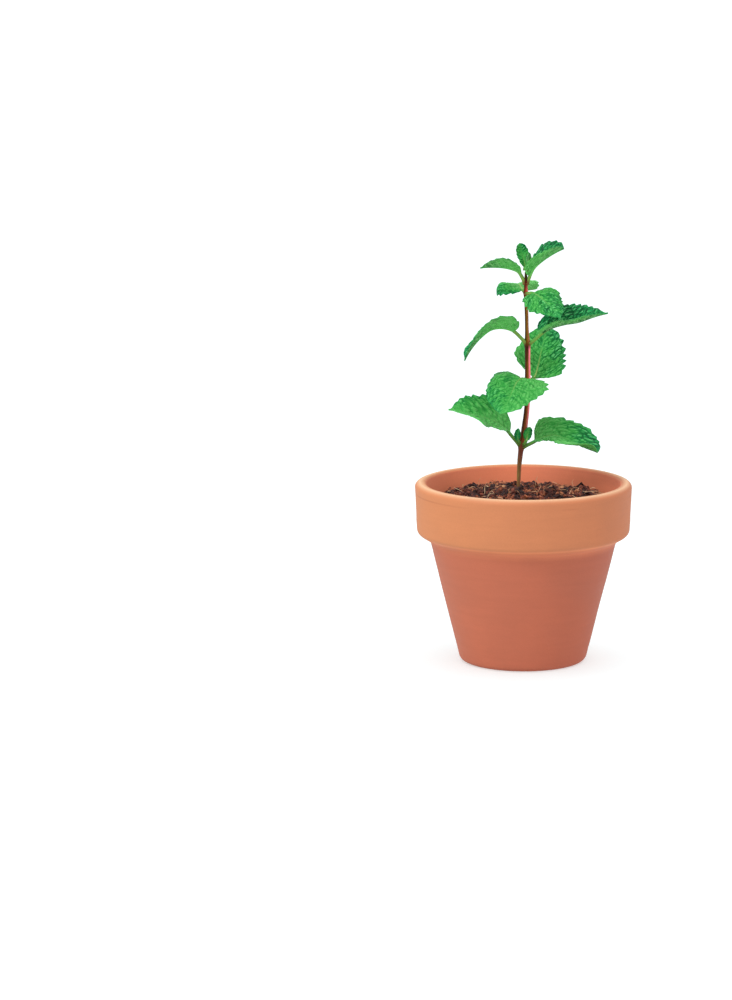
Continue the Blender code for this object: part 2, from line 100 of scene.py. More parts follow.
# The stem's centre line, in millimetres, with its radius there, as on the solid
STEM_ROUTE = [
    (-2.0, 6.0, 54.5, 0.60), (-1.9, 6.0, 62.0, 0.62), (-1.9, 6.0, 67.9, 0.66),
    (-1.8, 6.0, 73.5, 0.75), (-1.5, 5.7, 78.5, 0.88), (-0.9, 5.5, 83.9, 1.05),
    (-0.4, 5.3, 87.5, 1.00), (0.4, 5.0, 92.5, 1.08), (1.3, 4.5, 100.5, 1.00),
    (1.5, 4.0, 110.5, 1.08), (1.4, 3.7, 118.3, 1.00), (1.3, 3.5, 125.0, 1.05),
    (1.1, 3.2, 130.0, 0.75), (0.9, 3.0, 137.5, 0.70), (0.6, 3.0, 145.4, 0.75),
    (0.6, 3.0, 149.4, 0.60), (0.6, 3.0, 154.0, 0.48),
]
STEM_NODES = (83.9, 110.5, 124.9, 145.2, 149.2)
STEM_SIDES = 24
STEM_RINGS = 170
STEM_TIP_ROUND = 0.6
RIDGE_TURN = math.radians(20.0)
# How strongly the stem's right side shows its pink skin and painted highlight at each height
PINK_AND_HIGHLIGHT_Z = (85.0, 90.0, 98.0, 123.0, 125.0, 127.0, 143.0, 147.0, 149.0)
PINK_AND_HIGHLIGHT = (0.1, 0.25, 1.0, 1.0, 0.0, 0.3, 0.3, 0.5, 0.0)

# Each leaf, in millimetres and degrees. Left and right are those of someone who looks along
# the leaf to its tip with the upper face up, and a pair gives them in that order. A list gives
# values at even steps from the blade's base to its tip, and a single entry holds all along.
# route: the midline from the stem to the tip, within 1 mm of the solid's
# stalk: how much of the route is stalk
# halves: half widths of the blade, which margins multiplies from base to tip
# fullness: how the outline narrows to its base and tip, where less is blunter
# faces: where the upper face looks
# folds: how steeply each half rises from the midrib
# arches: how far each half bends down again, which curl starts part of the way out
# sweeps: how far the margin is drawn towards the tip
# lobes: how far the margin is drawn back at the base
# teeth: how many there are, which bites makes deeper or shallower
# shade: how dark and mottled the left edge, the middle and the right edge are, partly the
# leaf's own colour and partly painted shade and light. 0 is a plain bright leaf and 1 a dark
# one, and a value beyond these is brighter or darker still
# rib: how pale the midrib is
LEAVES = {
    "leaf_1_left": dict(
        route=[(-0.9, 5.5, 84.0), (-4.0, 3.8, 88.0), (-6.9, 2.0, 91.6), (-11.2, -1.0, 95.0),
               (-16.3, -4.0, 97.5), (-22.5, -7.0, 99.6), (-29.2, -9.0, 101.1)],
        stalk=7.8, halves=(9.5, 10.7), faces=[(0.35, -0.45, 0.80), (0.0, -0.35, 0.95)],
        folds=[(40, 38), (20, 34), (8, 30), (26, 28), (26, 25)], arches=[(10, 15)],
        margins=[(0.6, 0.5), (0.68, 0.7), (0.75, 0.9), (0.78, 1.0), (0.75, 1.1), (0.85, 1.11),
                 (1.55, 1.12), (1.8, 1.2), (1.2, 1.33), (1.1, 1.3), (1.0, 1.3)],
        shade=[(-1.0, -1.0, -0.6), (-0.9, -0.65, 0.15), (-0.7, -0.3, 0.4), (-0.5, -0.2, 0.3)],
        teeth=9, bites=(1.0, 1.2), lobes=(-0.10, -0.05)),
    "leaf_1_right": dict(
        route=[(-0.9, 5.5, 83.6), (2.9, 4.0, 85.8), (6.8, 2.0, 88.1), (11.5, 0.0, 89.6),
               (16.2, -2.5, 88.7), (21.0, -5.0, 87.0), (25.3, -6.2, 85.3), (28.9, -7.0, 84.1)],
        stalk=6.5, halves=(10.0, 10.0), faces=[(-0.25, -0.5, 0.85), (0.3, 0.1, 0.95)],
        folds=[(28, 38), (30, 16), (30, 8), (30, 20), (30, 38)], arches=[(20, 5), (10, 10)],
        margins=[(1.9, 1.0), (1.06, 0.8), (0.97, 0.6), (1.1, 1.1), (1.25, 1.5), (1.2, 1.0)],
        sweeps=[(0.0, 0.0), (0.0, 0.0), (0.0, 0.0), (0.1, 0.0), (0.25, 0.0), (0.2, 0.0)],
        shade=[(-0.9, -0.9, -0.3), (0.1, -0.5, -0.5), (0.8, 0.4, -0.9), (1.1, 0.9, -0.9)],
        teeth=9, bites=(1.0, 1.3), lobes=(-0.05, -0.10), fullness=(0.40, 0.5)),
    "leaf_2_front": dict(
        route=[(1.5, 4.1, 110.6), (-0.5, 1.2, 111.8), (-2.3, -1.5, 111.2), (-4.2, -7.0, 108.5),
               (-5.7, -12.0, 105.7), (-7.3, -16.0, 103.2), (-9.2, -19.0, 100.8)],
        stalk=5.2, halves=(13.5, 11.5), faces=[(0.0, 0.0, 1.0), (-0.1, 0.0, 1.0)],
        folds=[(14, 47), (13, 40), (4, 18)], arches=[(25, 80), (22, 65), (12, 30)],
        margins=[(0.6, 1.4), (0.92, 1.0), (1.14, 1.0), (1.0, 1.0), (1.15, 1.0), (1.7, 1.0)],
        shade=[(-0.4, -0.2, 0.1), (-0.4, -0.1, 0.3), (-0.3, 0.1, 0.6), (-0.1, 0.3, 0.6)],
        teeth=9, bites=(1.6, 0.5), lobes=(0.45, 0.70)),
    "leaf_2_back": dict(
        route=[(1.5, 4.1, 110.4), (2.8, 6.2, 110.6), (4.1, 8.5, 111.4), (5.5, 13.0, 115.0),
               (6.7, 17.5, 119.8), (8.0, 22.0, 125.0), (9.2, 26.0, 129.5)],
        stalk=4.5, halves=(9.8, 11.3), faces=[(0.0, -0.6, 0.7)],
        folds=[(12, 12), (10, 10)], arches=[(25, 15), (15, 15)],
        margins=[(0.75, 1.75), (0.95, 1.03), (1.1, 0.92), (1.0, 0.92), (1.0, 1.0), (1.0, 1.0)],
        shade=[(-0.5, -0.1, 0.2), (-0.5, 0.0, 0.5), (-0.1, 0.3, 0.8), (0.4, 0.8, 0.9)],
        teeth=7, bites=(0.5, 1.7), lobes=(-0.45, -0.6), fullness=(0.45, 0.68), rib=1.0),
    "leaf_3_left": dict(
        route=[(1.3, 3.5, 124.9), (-1.6, 2.5, 128.2), (-4.0, 1.5, 130.5), (-8.2, 0.0, 132.0),
               (-12.5, -1.0, 131.6), (-17.2, -2.5, 128.2), (-20.6, -3.5, 124.1),
               (-23.3, -4.0, 119.6)],
        stalk=8.0, halves=(8.0, 8.0), faces=[(-0.05, 0.25, 0.95), (-0.55, 0.1, 0.8)],
        folds=[(33, 30), (27, 27), (18, 21), (12, 60)], arches=[(10, 10), (5, 5)],
        margins=[(1.0, 1.0), (1.2, 1.0), (1.15, 1.0), (1.0, 0.9), (1.0, 0.9), (1.0, 1.5)],
        shade=[(0.2, 0.0, 0.0), (0.1, 0.0, 0.0), (0.3, 0.1, 0.2), (0.8, 0.8, 0.8),
               (1.1, 1.1, 1.1)],
        teeth=10, bites=(1.4, 1.2), lobes=(0.20, 0.20)),
    "leaf_3_right": dict(
        route=[(1.3, 3.5, 124.7), (4.0, 3.0, 127.0), (6.6, 2.5, 129.4), (10.1, 1.5, 131.7),
               (15.1, 0.0, 133.4), (20.9, -2.0, 134.6), (26.7, -4.0, 136.8),
               (32.4, -5.0, 138.6)],
        stalk=8.0, halves=(9.5, 8.5), faces=[(-0.2, -0.2, 0.95), (-0.1, -0.2, 0.95)],
        folds=[(33, 33), (30, 38)], arches=[(15, 15), (10, 10)],
        margins=[(1.0, 1.0), (1.0, 1.1), (1.22, 1.1), (1.25, 1.0), (1.1, 1.0), (1.0, 1.0)],
        shade=[(1.1, 0.9, 0.0), (1.1, 0.9, 0.0), (1.2, 0.9, 0.2), (1.1, 0.8, 0.3)],
        teeth=10, bites=(1.2, 0.8), lobes=(0.60, 0.30)),
    "leaf_4_front": dict(
        route=[(0.6, 3.0, 145.0), (2.4, 0.5, 145.7), (4.5, -2.5, 145.4), (7.2, -7.0, 143.9),
               (9.9, -11.0, 142.0), (12.2, -14.0, 139.9), (14.0, -16.0, 137.8)],
        stalk=5.2, halves=(8.3, 8.6), faces=[(0.1, -0.2, 1.0), (0.2, -0.2, 1.0)],
        folds=[(38, -4), (24, -12), (20, -2)], arches=[(60, 15), (45, 10), (30, 10)],
        margins=[(1.5, 0.85), (1.3, 0.9), (1.08, 1.0), (1.0, 1.25), (1.0, 1.35), (1.0, 1.2)],
        shade=[(0.1, 0.1, 0.1), (0.4, 0.2, 0.2), (0.8, 0.6, 0.5)],
        teeth=9, bites=(1.0, 1.2), lobes=(0.50, 0.10)),
    "leaf_4_back": dict(
        route=[(0.6, 3.0, 145.2), (-0.1, 5.2, 145.7), (-1.1, 8.0, 146.6), (-1.9, 11.5, 147.4),
               (-2.9, 15.5, 147.2), (-3.8, 19.5, 146.0), (-4.7, 23.0, 144.0)],
        stalk=3.5, halves=(11.6, 7.0), faces=[(0.0, 0.0, 1.0)],
        folds=[(6, 20), (6, 15)], arches=[(110, 20), (110, 15)], curl=(0.5, 0.5),
        margins=[(0.5, 1.2), (0.8, 1.1), (1.12, 1.0), (1.15, 1.0), (1.2, 1.0), (1.1, 1.0)],
        sweeps=[(0.0, 0.0), (0.0, 0.0), (0.0, 0.0), (0.1, 0.0), (0.2, 0.0), (0.2, 0.0)],
        shade=[(1.0, -1.3, -1.3), (1.3, -1.2, -1.3), (1.5, 0.3, -0.3)],
        teeth=8, lobes=(0.25, 0.6), rib=1.6),
    "leaf_5_left": dict(
        route=[(0.5, 3.3, 148.8), (-0.9, 3.4, 151.6), (-2.3, 2.6, 153.6), (-5.2, 1.0, 155.0),
               (-8.7, 0.0, 155.7), (-12.6, -1.0, 155.9), (-17.1, -2.0, 155.7)],
        stalk=3.4, halves=(5.8, 5.2), faces=[(0.1, 0.3, 0.9), (0.0, 0.3, 0.9)],
        folds=[(35, 35), (30, 30)],
        margins=[(0.6, 0.6), (0.7, 0.7), (0.95, 0.95), (1.05, 1.0), (1.1, 1.0), (1.0, 1.0)],
        shade=[(0.0, 0.0, 0.0), (0.0, 0.0, 0.1), (0.4, 0.3, 0.5), (0.5, 0.5, 0.5)],
        teeth=8, fullness=(0.9, 0.8)),
    "leaf_5_right": dict(
        route=[(0.7, 3.3, 148.8), (2.2, 3.4, 152.3), (3.7, 2.5, 155.1), (6.4, 1.0, 157.8),
               (9.5, 0.5, 160.0), (12.6, 0.0, 161.8), (15.3, -0.5, 163.1)],
        stalk=3.3, halves=(8.5, 5.2), faces=[(-0.5, 0.25, 0.8), (-0.2, 0.2, 0.9)],
        folds=[(45, 35), (48, 30)],
        margins=[(1.35, 1.0), (1.4, 1.0), (1.35, 1.0), (1.35, 1.0), (1.2, 1.0), (1.15, 1.0)],
        shade=[(0.4, -0.5, -0.6), (1.1, 0.1, -0.4), (1.2, 0.5, 0.0), (1.2, 0.9, 0.6)],
        teeth=8, bites=(1.3, 1.0), fullness=(0.4, 0.4)),
    "leaf_6_back": dict(
        route=[(0.3, 3.4, 154.0), (0.2, 3.7, 156.0), (-0.2, 3.9, 158.0), (-1.0, 4.0, 161.1),
               (-1.9, 3.0, 164.6)],
        stalk=1.0, halves=(2.4, 2.8), faces=[(0.0, -1.0, 0.1)], folds=[(25, 25), (15, 15)],
        shade=[(0.0, 0.1, 0.3), (0.1, 0.2, 0.6)], teeth=6, fullness=(0.6, 0.45)),
    "leaf_6_front": dict(
        route=[(1.0, 2.6, 154.0), (1.4, 2.2, 156.2), (1.6, 2.4, 158.2), (1.8, 2.8, 161.1)],
        stalk=2.2, halves=(1.2, 1.2), faces=[(0.0, 1.0, 0.1)], folds=[(25, 25), (15, 15)],
        shade=[(0.8, 0.8, 0.8)], teeth=4, fullness=(0.6, 0.6)),
    "axil_leaf_left": dict(
        route=[(-0.9, 5.0, 85.4), (-1.9, 3.8, 86.4), (-2.4, 3.4, 88.8), (-2.1, 3.0, 91.7)],
        stalk=2.2, halves=(1.4, 1.4), faces=[(0.0, -1.0, 0.2)], folds=[(20, 20), (15, 15)],
        shade=[(0.7, 0.6, 0.7), (0.6, 0.6, 0.7)], teeth=3, fullness=(0.6, 0.6)),
    "axil_leaf_right": dict(
        route=[(-0.6, 5.0, 84.6), (0.5, 3.8, 85.6), (1.1, 3.0, 87.2), (1.6, 2.8, 89.5),
               (2.5, 2.8, 92.3)],
        stalk=3.6, halves=(1.8, 1.8), faces=[(0.0, -1.0, 0.2)], folds=[(20, 20), (15, 15)],
        shade=[(0.1, -0.2, 0.7), (0.4, 0.2, 0.9)], teeth=4, fullness=(0.5, 0.5), rib=0.9),
}
USUAL_LEAF = dict(arches=[(10, 10)], curl=(0.0, 1.0), margins=[(1.0, 1.0)],
                  sweeps=[(0.0, 0.0)], bites=(1.0, 1.0), lobes=(0.0, 0.0),
                  fullness=(0.40, 0.80), rib=0.45)
YOUNG_LEAVES = ("axil_leaf_left", "axil_leaf_right", "leaf_6_back", "leaf_6_front")
GROWN_MESH = (170, 81)
YOUNG_MESH = (70, 31)
STALK_ROWS = 18
FOLD_STEPS = 60
CURVE_POINTS = 600
LOOK_AHEAD = 0.4
VEIN_COUNT = 7.5
VEIN_SLANT = 0.62
VEIN_SWEEP = 0.022
TOOTH_POINT = 0.7

# The camera, as worked out from the pot's ellipses, its sides and its foot: its turns in
# radians, and its focal length in pixels of a picture this many pixels tall
CAMERA_YAW = -0.041204
CAMERA_PITCH = 0.181551
CAMERA_ROLL = -0.002731
FOCAL_PIXELS = 3880.256812
PICTURE_PIXELS = 1000.0
SENSOR_SIZE = 36.0

# The place and size of each soft box, and what they face, in metres
SOFT_BOXES = {
    "key": ((-1.3, -1.3, 1.5), 0.7),
    "fill": ((1.7, -0.6, 0.9), 1.0),
    "top": ((0.0, 0.1, 1.8), 1.2),
}
PLANT_MIDDLE = Vector((0.0, 0.0, 0.09))
FLOOR_RADIUS = 8.0
WHITE = (1.0, 1.0, 1.0, 1.0)
BLACK = (0.0, 0.0, 0.0, 1.0)


def linear(code):
    """An sRGB hex colour as linear numbers."""
    parts = [int(code[start:start + 2], 16) / 255.0 for start in (1, 3, 5)]
    return tuple(part / 12.92 if part <= 0.04045 else ((part + 0.055) / 1.055) ** 2.4
                 for part in parts) + (1.0,)


def per_mm(size):
    """The scale of a pattern whose features are this many millimetres apart."""
    return 1.0 / (size * MM)


def add_node(tree, kind, feeds=(), output=None, stops=(), **settings):
    """Add a shader node, set it up, feed it with values or links, and give its output.

    The feeds are named, or stand in the order in which the node shows its inputs. A noise
    shows its place, scale, detail and roughness, a mix its share and the two that it mixes,
    and a range its value, the two ends it comes from and the two it goes to."""
    item = tree.nodes.new("ShaderNode" + kind)
    for name, value in settings.items():
        setattr(item, name, value)
    for _ in stops[2:]:
        item.color_ramp.elements.new(1.0)
    if stops:
        for element, (position, colour) in zip(item.color_ramp.elements, stops):
            element.position = position
            element.color = colour
    if isinstance(feeds, dict):
        fed = [(item.inputs[name], value) for name, value in feeds.items()]
    else:
        shown = [socket for socket in item.inputs if not socket.is_unavailable]
        fed = list(zip(shown, feeds))
    for socket, value in fed:
        if isinstance(value, bpy.types.NodeSocket):
            tree.links.new(value, socket)
        else:
            socket.default_value = value
    if output:
        return item.outputs[output]
    return next(socket for socket in item.outputs if not socket.is_unavailable)


def new_material(name, **constants):
    """A Principled material with its constant values set, and its tree of nodes."""
    material = bpy.data.materials.new(name)
    material.use_nodes = True
    for socket, value in constants.items():
        shader = material.node_tree.nodes["Principled BSDF"]
        shader.inputs[socket.replace("_", " ")].default_value = value
    return material, material.node_tree


def link_shader(tree, **outputs):
    """Link outputs to the inputs of the tree's shader."""
    for socket, output in outputs.items():
        shader = tree.nodes["Principled BSDF"]
        tree.links.new(output, shader.inputs[socket.replace("_", " ")])


def settle(piece, material, slot, *nodes):
    """Give a finished piece its finish and its place in the frame."""
    piece.data.materials.clear()
    piece.data.materials.append(material)
    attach(piece, BODY)
    if nodes:
        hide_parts(*nodes)


def deselect_all():
    if bpy.context.object and bpy.context.object.mode != "OBJECT":
        bpy.ops.object.mode_set(mode="OBJECT")
    bpy.ops.object.select_all(action="DESELECT")


def edit_all():
    """Go into edit mode with the whole piece selected."""
    bpy.ops.object.mode_set(mode="EDIT")
    bpy.ops.mesh.select_all(action="SELECT")


def face_outwards():
    """Turn the faces of the piece in hand outwards."""
    edit_all()
    bpy.ops.mesh.normals_make_consistent(inside=False)
    bpy.ops.object.mode_set(mode="OBJECT")


def unit(vectors):
    return vectors / np.linalg.norm(vectors, axis=-1, keepdims=True)


def ramp(values, start, stop):
    """0 at the start, 1 at the stop, and even in between."""
    return np.clip((values - start) / (stop - start), 0.0, 1.0)


def bell(values, middle, width):
    """1 at the middle, falling smoothly to nearly 0 at twice this width from it."""
    return np.exp(-((values - middle) / width) ** 2)


def mesh_points(piece):
    flat = np.empty(len(piece.data.vertices) * 3)
    piece.data.vertices.foreach_get("co", flat)
    return flat.reshape(-1, 3)


def set_points(piece, points):
    piece.data.vertices.foreach_set("co", np.ascontiguousarray(points, dtype=np.float32).ravel())
    piece.data.update()


def mark_points(piece, name, values):
    """Store one number or one vector at each vertex for the material to read."""
    kind, key = ("FLOAT_VECTOR", "vector") if np.ndim(values) == 2 else ("FLOAT", "value")
    marks = piece.data.attributes.new(name, kind, "POINT")
    marks.data.foreach_set(key, np.ascontiguousarray(values, dtype=np.float32).ravel())


def waves(x, y, length, seed, count=7):
    """Smooth irregular waves between about -1 and 1, of the given length."""
    rng = np.random.default_rng(seed)
    total = np.zeros(np.broadcast(x, y).shape)
    for _ in range(count):
        heading, phase = rng.uniform(0.0, 2.0 * np.pi, 2)
        pitch = 2.0 * np.pi / (length * rng.uniform(0.7, 1.4))
        total += np.sin((x * np.cos(heading) + y * np.sin(heading)) * pitch + phase)
    return total / math.sqrt(count)


def cells(x, y, seed):
    """How far inside a cell of an irregular net each point lies, 0 on the net itself."""
    nearest = np.full(x.shape, 9.0)
    second = nearest.copy()
    for step_x in (-1, 0, 1):
        for step_y in (-1, 0, 1):
            cell_x, cell_y = np.floor(x) + step_x, np.floor(y) + step_y
            jump_x = np.modf(np.abs(np.sin(cell_x * 127.1 + cell_y * 311.7 + seed)) * 4375.5)[0]
            jump_y = np.modf(np.abs(np.sin(cell_x * 269.5 + cell_y * 183.3 + seed)) * 4375.5)[0]
            distance = np.hypot(x - cell_x - jump_x, y - cell_y - jump_y)
            second = np.minimum(second, np.maximum(nearest, distance))
            nearest = np.minimum(nearest, distance)
    return second - nearest


def rounded_outline(corners):
    """The corner points (r, z, rounding) as an outline with an arc at each corner."""
    outline = []
    for index, (r, z, rounding) in enumerate(corners):
        here = np.array((r, z))
        before = unit(np.array(corners[index - 1][:2]) - here)
        after = unit(np.array(corners[(index + 1) % len(corners)][:2]) - here)
        half_angle = math.acos(float(before @ after)) / 2.0
        middle = here + unit(before + after) * rounding / math.sin(half_angle)
        start = here + before * rounding / math.tan(half_angle) - middle
        turn = math.pi - 2.0 * half_angle
        if start[1] * before[0] - start[0] * before[1] < 0.0:
            turn = -turn
        for step in range(ARC_STEPS + 1):
            angle = turn * step / ARC_STEPS
            c, s = math.cos(angle), math.sin(angle)
            outline.append(middle + np.array((c * start[0] - s * start[1],
                                              s * start[0] + c * start[1])))
    return outline


def closely_spaced(outline, spacing):
    """The closed outline with points added along its straight stretches."""
    dense = []
    for here, after in zip(outline, outline[1:] + outline[:1]):
        count = max(1, round(float(np.linalg.norm(after - here)) / spacing))
        dense += [here + (after - here) * step / count for step in range(count)]
    return dense + [outline[0]]


def turned_body(name, outline, steps):
    """Draw an outline in millimetres from one vertex and spin it round the pot's axis."""
    deselect_all()
    bpy.ops.mesh.primitive_plane_add(size=MM)
    piece = bpy.context.object
    piece.name = name
    edit_all()
    bpy.ops.mesh.merge(type="CENTER")
    bpy.ops.transform.translate(value=(outline[0][0] * MM, 0.0, outline[0][1] * MM))
    for here, after in zip(outline, outline[1:]):
        r, z = (after - here) * MM
        bpy.ops.mesh.extrude_vertices_move(TRANSFORM_OT_translate={"value": (r, 0.0, z)})
    bpy.ops.mesh.select_all(action="SELECT")
    bpy.ops.mesh.spin(steps=steps, angle=2.0 * math.pi, center=(0.0, 0.0, 0.0),
                      axis=(0.0, 0.0, 1.0))
    bpy.ops.mesh.select_all(action="SELECT")
    bpy.ops.mesh.remove_doubles(threshold=0.005 * MM)
    face_outwards()
    bpy.ops.object.shade_smooth()
    return piece


def inner_radius(z):
    """The radius of the pot's inner wall at a height."""
    share = (z - FLOOR_THICKNESS) / (POT_HEIGHT - FLOOR_THICKNESS)
    return FLOOR_INNER_RADIUS + (LIP_INNER_RADIUS - FLOOR_INNER_RADIUS) * share


def mix_height(x, y, lump):
    """The height of the mix's surface, with lumps of this height."""
    share = np.clip(np.hypot(x, y) / inner_radius(MIX_EDGE_Z), 0.0, 1.0)
    lumps = 0.6 * waves(x, y, 9.0, 21) + 0.4 * waves(x, y, 3.2, 22)
    return MIX_EDGE_Z + MIX_MOUND * np.cos(share * math.pi / 2.0) + lump * lumps


def copied_shapes(name, shapes, places):
    """One mesh of many moved copies. Each place is (shape, 4 by 4 matrix, tone)."""
    points, faces, tones, count = [], [], [], 0
    for shape, matrix, tone in places:
        local, shape_faces = shapes[shape]
        points.append(local @ matrix[:3, :3].T + matrix[:3, 3])
        faces.append(shape_faces + count)
        tones.append(np.full(len(local), tone))
        count += len(local)
    mesh = bpy.data.meshes.new(name)
    mesh.from_pydata(np.concatenate(points).tolist(), [], np.concatenate(faces).tolist())
    piece = bpy.data.objects.new(name, mesh)
    bpy.context.scene.collection.objects.link(piece)
    mark_points(piece, "tone", np.concatenate(tones))
    return piece


def taken_shape(piece):
    """The points and triangles of a model piece, which is then removed."""
    piece.data.calc_loop_triangles()
    faces = np.array([triangle.vertices for triangle in piece.data.loop_triangles])
    points = mesh_points(piece)
    bpy.data.objects.remove(piece, do_unlink=True)
    return points, faces


def placed(location, turns, sizes):
    """A 4 by 4 matrix from a place, three turns and three sizes."""
    matrix = np.eye(4)
    turn_x, turn_y, turn_z = (Matrix.Rotation(turn, 3, axis) for turn, axis in zip(turns, "XYZ"))
    matrix[:3, :3] = np.array(turn_z @ turn_y @ turn_x) * np.array(sizes)
    matrix[:3, 3] = location
    return matrix


def length_setting(name, description, size, precision=4):
    """A length to set, with its default in millimetres."""
    return FloatProperty(name=name, description=description, default=size * MM,
                         unit="LENGTH", precision=precision)


def colour_setting(name, description, code):
    """A colour to set, with its default as an sRGB hex code."""
    return FloatVectorProperty(name=name, description=description, default=linear(code),
                               subtype="COLOR", size=4, min=0.0, max=1.0)


def power_setting(name, description, watts):
    """A lamp's power to set."""
    return FloatProperty(name=name, description=description, default=watts, min=0.0,
                         unit="POWER")


class ClaySettings(bpy.types.PropertyGroup):
    """The pot's size and colours."""
    rim_radius: length_setting("Rim radius", "Outer radius of the rim at its top", 42.6)
    ridge: length_setting("Turning ridge", "Height of the faint rings left by turning", 0.03, 5)
    rim_colour: colour_setting("Rim", "Clay of the rim, which dries palest", "#bb724a")
    wall_colour: colour_setting("Wall", "Clay of the wall below the rim", "#ac5b41")
    # Redder clay inside, painted brighter than it is to make up for the shade inside the pot
    inside_colour_with_painted_light: colour_setting("Inside", "Clay inside the pot", "#d87856")
    # The lip's pale edge is partly rubbed clay and partly a painted highlight
    lip_wear_and_highlight_colour: colour_setting("Edges", "Clay rubbed pale on the edge of the lip", "#deb791")


class MixSettings(bpy.types.PropertyGroup):
    """The growing mix's make-up and colours."""
    crumbs: IntProperty(name="Crumbs", description="How many crumbs lie on top",
                        default=1700, min=0)
    chips: IntProperty(name="Bark chips", description="How many bark chips lie on top",
                       default=330, min=0)
    fibres: IntProperty(name="Coir fibres", description="How many fibres lie on top",
                        default=100, min=0)
    lump: length_setting("Lumps", "Height of the lumps in the surface", 0.75)
    dark_colour: colour_setting("Damp crumbs", "The darkest crumbs", "#24110f")
    light_colour: colour_setting("Dry crumbs", "The lightest crumbs", "#b4704c")
    fibre_colour: colour_setting("Fibres", "Coir fibres", "#e6c49c")


class StemSettings(bpy.types.PropertyGroup):
    """The stem's shape."""
    squareness: FloatProperty(
        name="Squareness", description="How far the four ridges stand out, as a share of the radius",
        default=0.09, min=0.0, max=0.3, subtype="FACTOR")
    swelling: length_setting("Node swelling", "How far the stem swells at each pair of leaves", 0.22)


class LeafSettings(bpy.types.PropertyGroup):
    """The leaves' relief and colours."""
    thickness: length_setting("Thickness", "Thickness of a blade", 0.32, 5)
    pucker: length_setting("Pucker", "Height of the puckers between the veins", 0.5, 5)
    tooth: length_setting("Teeth", "Depth of the teeth along the margin", 0.95)
    # The raised green is painted light on the tops of the puckers, and the deep green is painted
    # shade down in the veins
    lit_colour: colour_setting("Raised green", "Upper face on top of the puckers", "#66b862")
    vein_shade_colour: colour_setting("Deep green", "Upper face down in the veins", "#064c26")
    under_colour: colour_setting("Underside", "Lower face", "#6cc462")


class StageSettings(bpy.types.PropertyGroup):
    """The light and the camera."""
    surround: FloatProperty(
        name="Surround", description="Brightness of the white studio all round",
        default=1.0, min=0.0)
    key: power_setting("Key light", "Power of the soft box on the left", 31.0)
    fill: power_setting("Fill light", "Power of the soft box on the right", 3.5)
    top: power_setting("Top light", "Power of the soft box overhead", 6.5)
    camera_distance: length_setting("Camera distance", "From the camera to the pot's axis", 1500.0)
    camera_height: length_setting("Camera height", "Above the floor", 339.047733)


def terracotta(clay):
    """Terracotta, turned and fired at low heat with no glaze: matt, faintly mottled and
    finely pitted, paler where it dries first. Its lip's edge is pale, partly rubbed and partly a
    painted highlight. Inside it is redder, and painted brighter there against the shade. Its
    right side is painted darker, its rim's foot carries a painted highlight and the wall under
    the rim painted light."""
    material, tree = new_material("terracotta_fired", Metallic=0.0,
                                  Specular_IOR_Level=0.35)
    place = add_node(tree, "TexCoord", output="Object")
    axes = add_node(tree, "SeparateXYZ", (place,)).node.outputs
    inner, edge, orange = (add_node(tree, "Attribute", output="Fac", attribute_name=mark)
                           for mark in ("inner", "edge", "orange"))
    mottle = add_node(tree, "TexNoise", (place, per_mm(24.0), 4.0, 0.55))
    ring_place = add_node(tree, "Mapping", {"Vector": place, "Scale": (0.1, 0.1, 1.0)})
    rings = add_node(tree, "TexNoise", (ring_place, per_mm(1.8), 3.0, 0.6))
    grain = add_node(tree, "TexNoise", (place, per_mm(0.5), 3.0, 0.7))
    on_rim = add_node(tree, "MapRange", (axes["Z"], 48.8 * MM, 50.4 * MM),
                      interpolation_type="SMOOTHSTEP")
    clay_colour = add_node(tree, "Mix", (on_rim, clay.wall_colour, clay.rim_colour),
                           data_type="RGBA")
    # Painted shade: the clay is painted darker and redder towards the right, where less light falls,
    # and a little lighter on the left
    fired = add_node(tree, "MapRange", (axes["X"], -36.0 * MM, 36.0 * MM))
    side_shade_tint = add_node(tree, "Mix", (fired, (0.98, 1.05, 1.03, 1.0), (0.97, 0.93, 0.97, 1.0)),
                    data_type="RGBA")
    clay_colour = add_node(tree, "Mix", (1.0, clay_colour, side_shade_tint), data_type="RGBA",
                           blend_type="MULTIPLY")
    # Inside, the clay is redder and painted brighter against the shade. A pale line along the
    # bottom of the rim is a painted highlight, and a lighter band on the wall under the rim is
    # partly its own warmer colour and partly painted light against the shade there. The pale
    # edge of the lip is partly rubbed clay and partly a painted highlight
    for share, other in ((inner, clay.inside_colour_with_painted_light), (orange, linear("#e2865c")),
                         (edge, clay.lip_wear_and_highlight_colour)):
        clay_colour = add_node(tree, "Mix", (share, clay_colour, other), data_type="RGBA")
    # A faint broken dark line, painted shade of the shallow groove left where the lip was trimmed
    line_place = add_node(tree, "MapRange", (axes["Z"], 66.2 * MM, 68.2 * MM))
    line = add_node(tree, "ValToRGB", (line_place,),
                    stops=[(0.2, BLACK), (0.45, WHITE), (0.7, BLACK)])
    seen = add_node(tree, "MapRange", (mottle, 0.46, 0.6, 0.0, 0.28))
    seen = add_node(tree, "Math", (seen, inner), operation="SUBTRACT", use_clamp=True)
    line = add_node(tree, "Math", (line, seen), operation="MULTIPLY")
    clay_colour = add_node(tree, "Mix", (line, clay_colour, linear("#7c3524")),
                           data_type="RGBA")
    tones = [add_node(tree, "MapRange", (pattern, 0.3, 0.7, low, high))
             for pattern, low, high in ((mottle, 0.95, 1.05), (rings, 0.975, 1.02),
                                        (grain, 0.96, 1.03))]
    tone = add_node(tree, "Math", tones[:2], operation="MULTIPLY")
    tone = add_node(tree, "Math", (tone, tones[2]), operation="MULTIPLY")
    toned = add_node(tree, "VectorMath", (clay_colour, tone), operation="SCALE")
    rough = add_node(tree, "MapRange", (mottle, 0.3, 0.7, 0.6, 0.75))
    pits = add_node(tree, "Bump", {"Height": grain, "Strength": 0.3, "Distance": 0.06 * MM})
    lines = add_node(tree, "Bump", {"Height": rings, "Strength": 0.25, "Distance": 0.1 * MM,
                                    "Normal": pits})
    link_shader(tree, Base_Color=toned, Roughness=rough, Normal=lines)
    return material


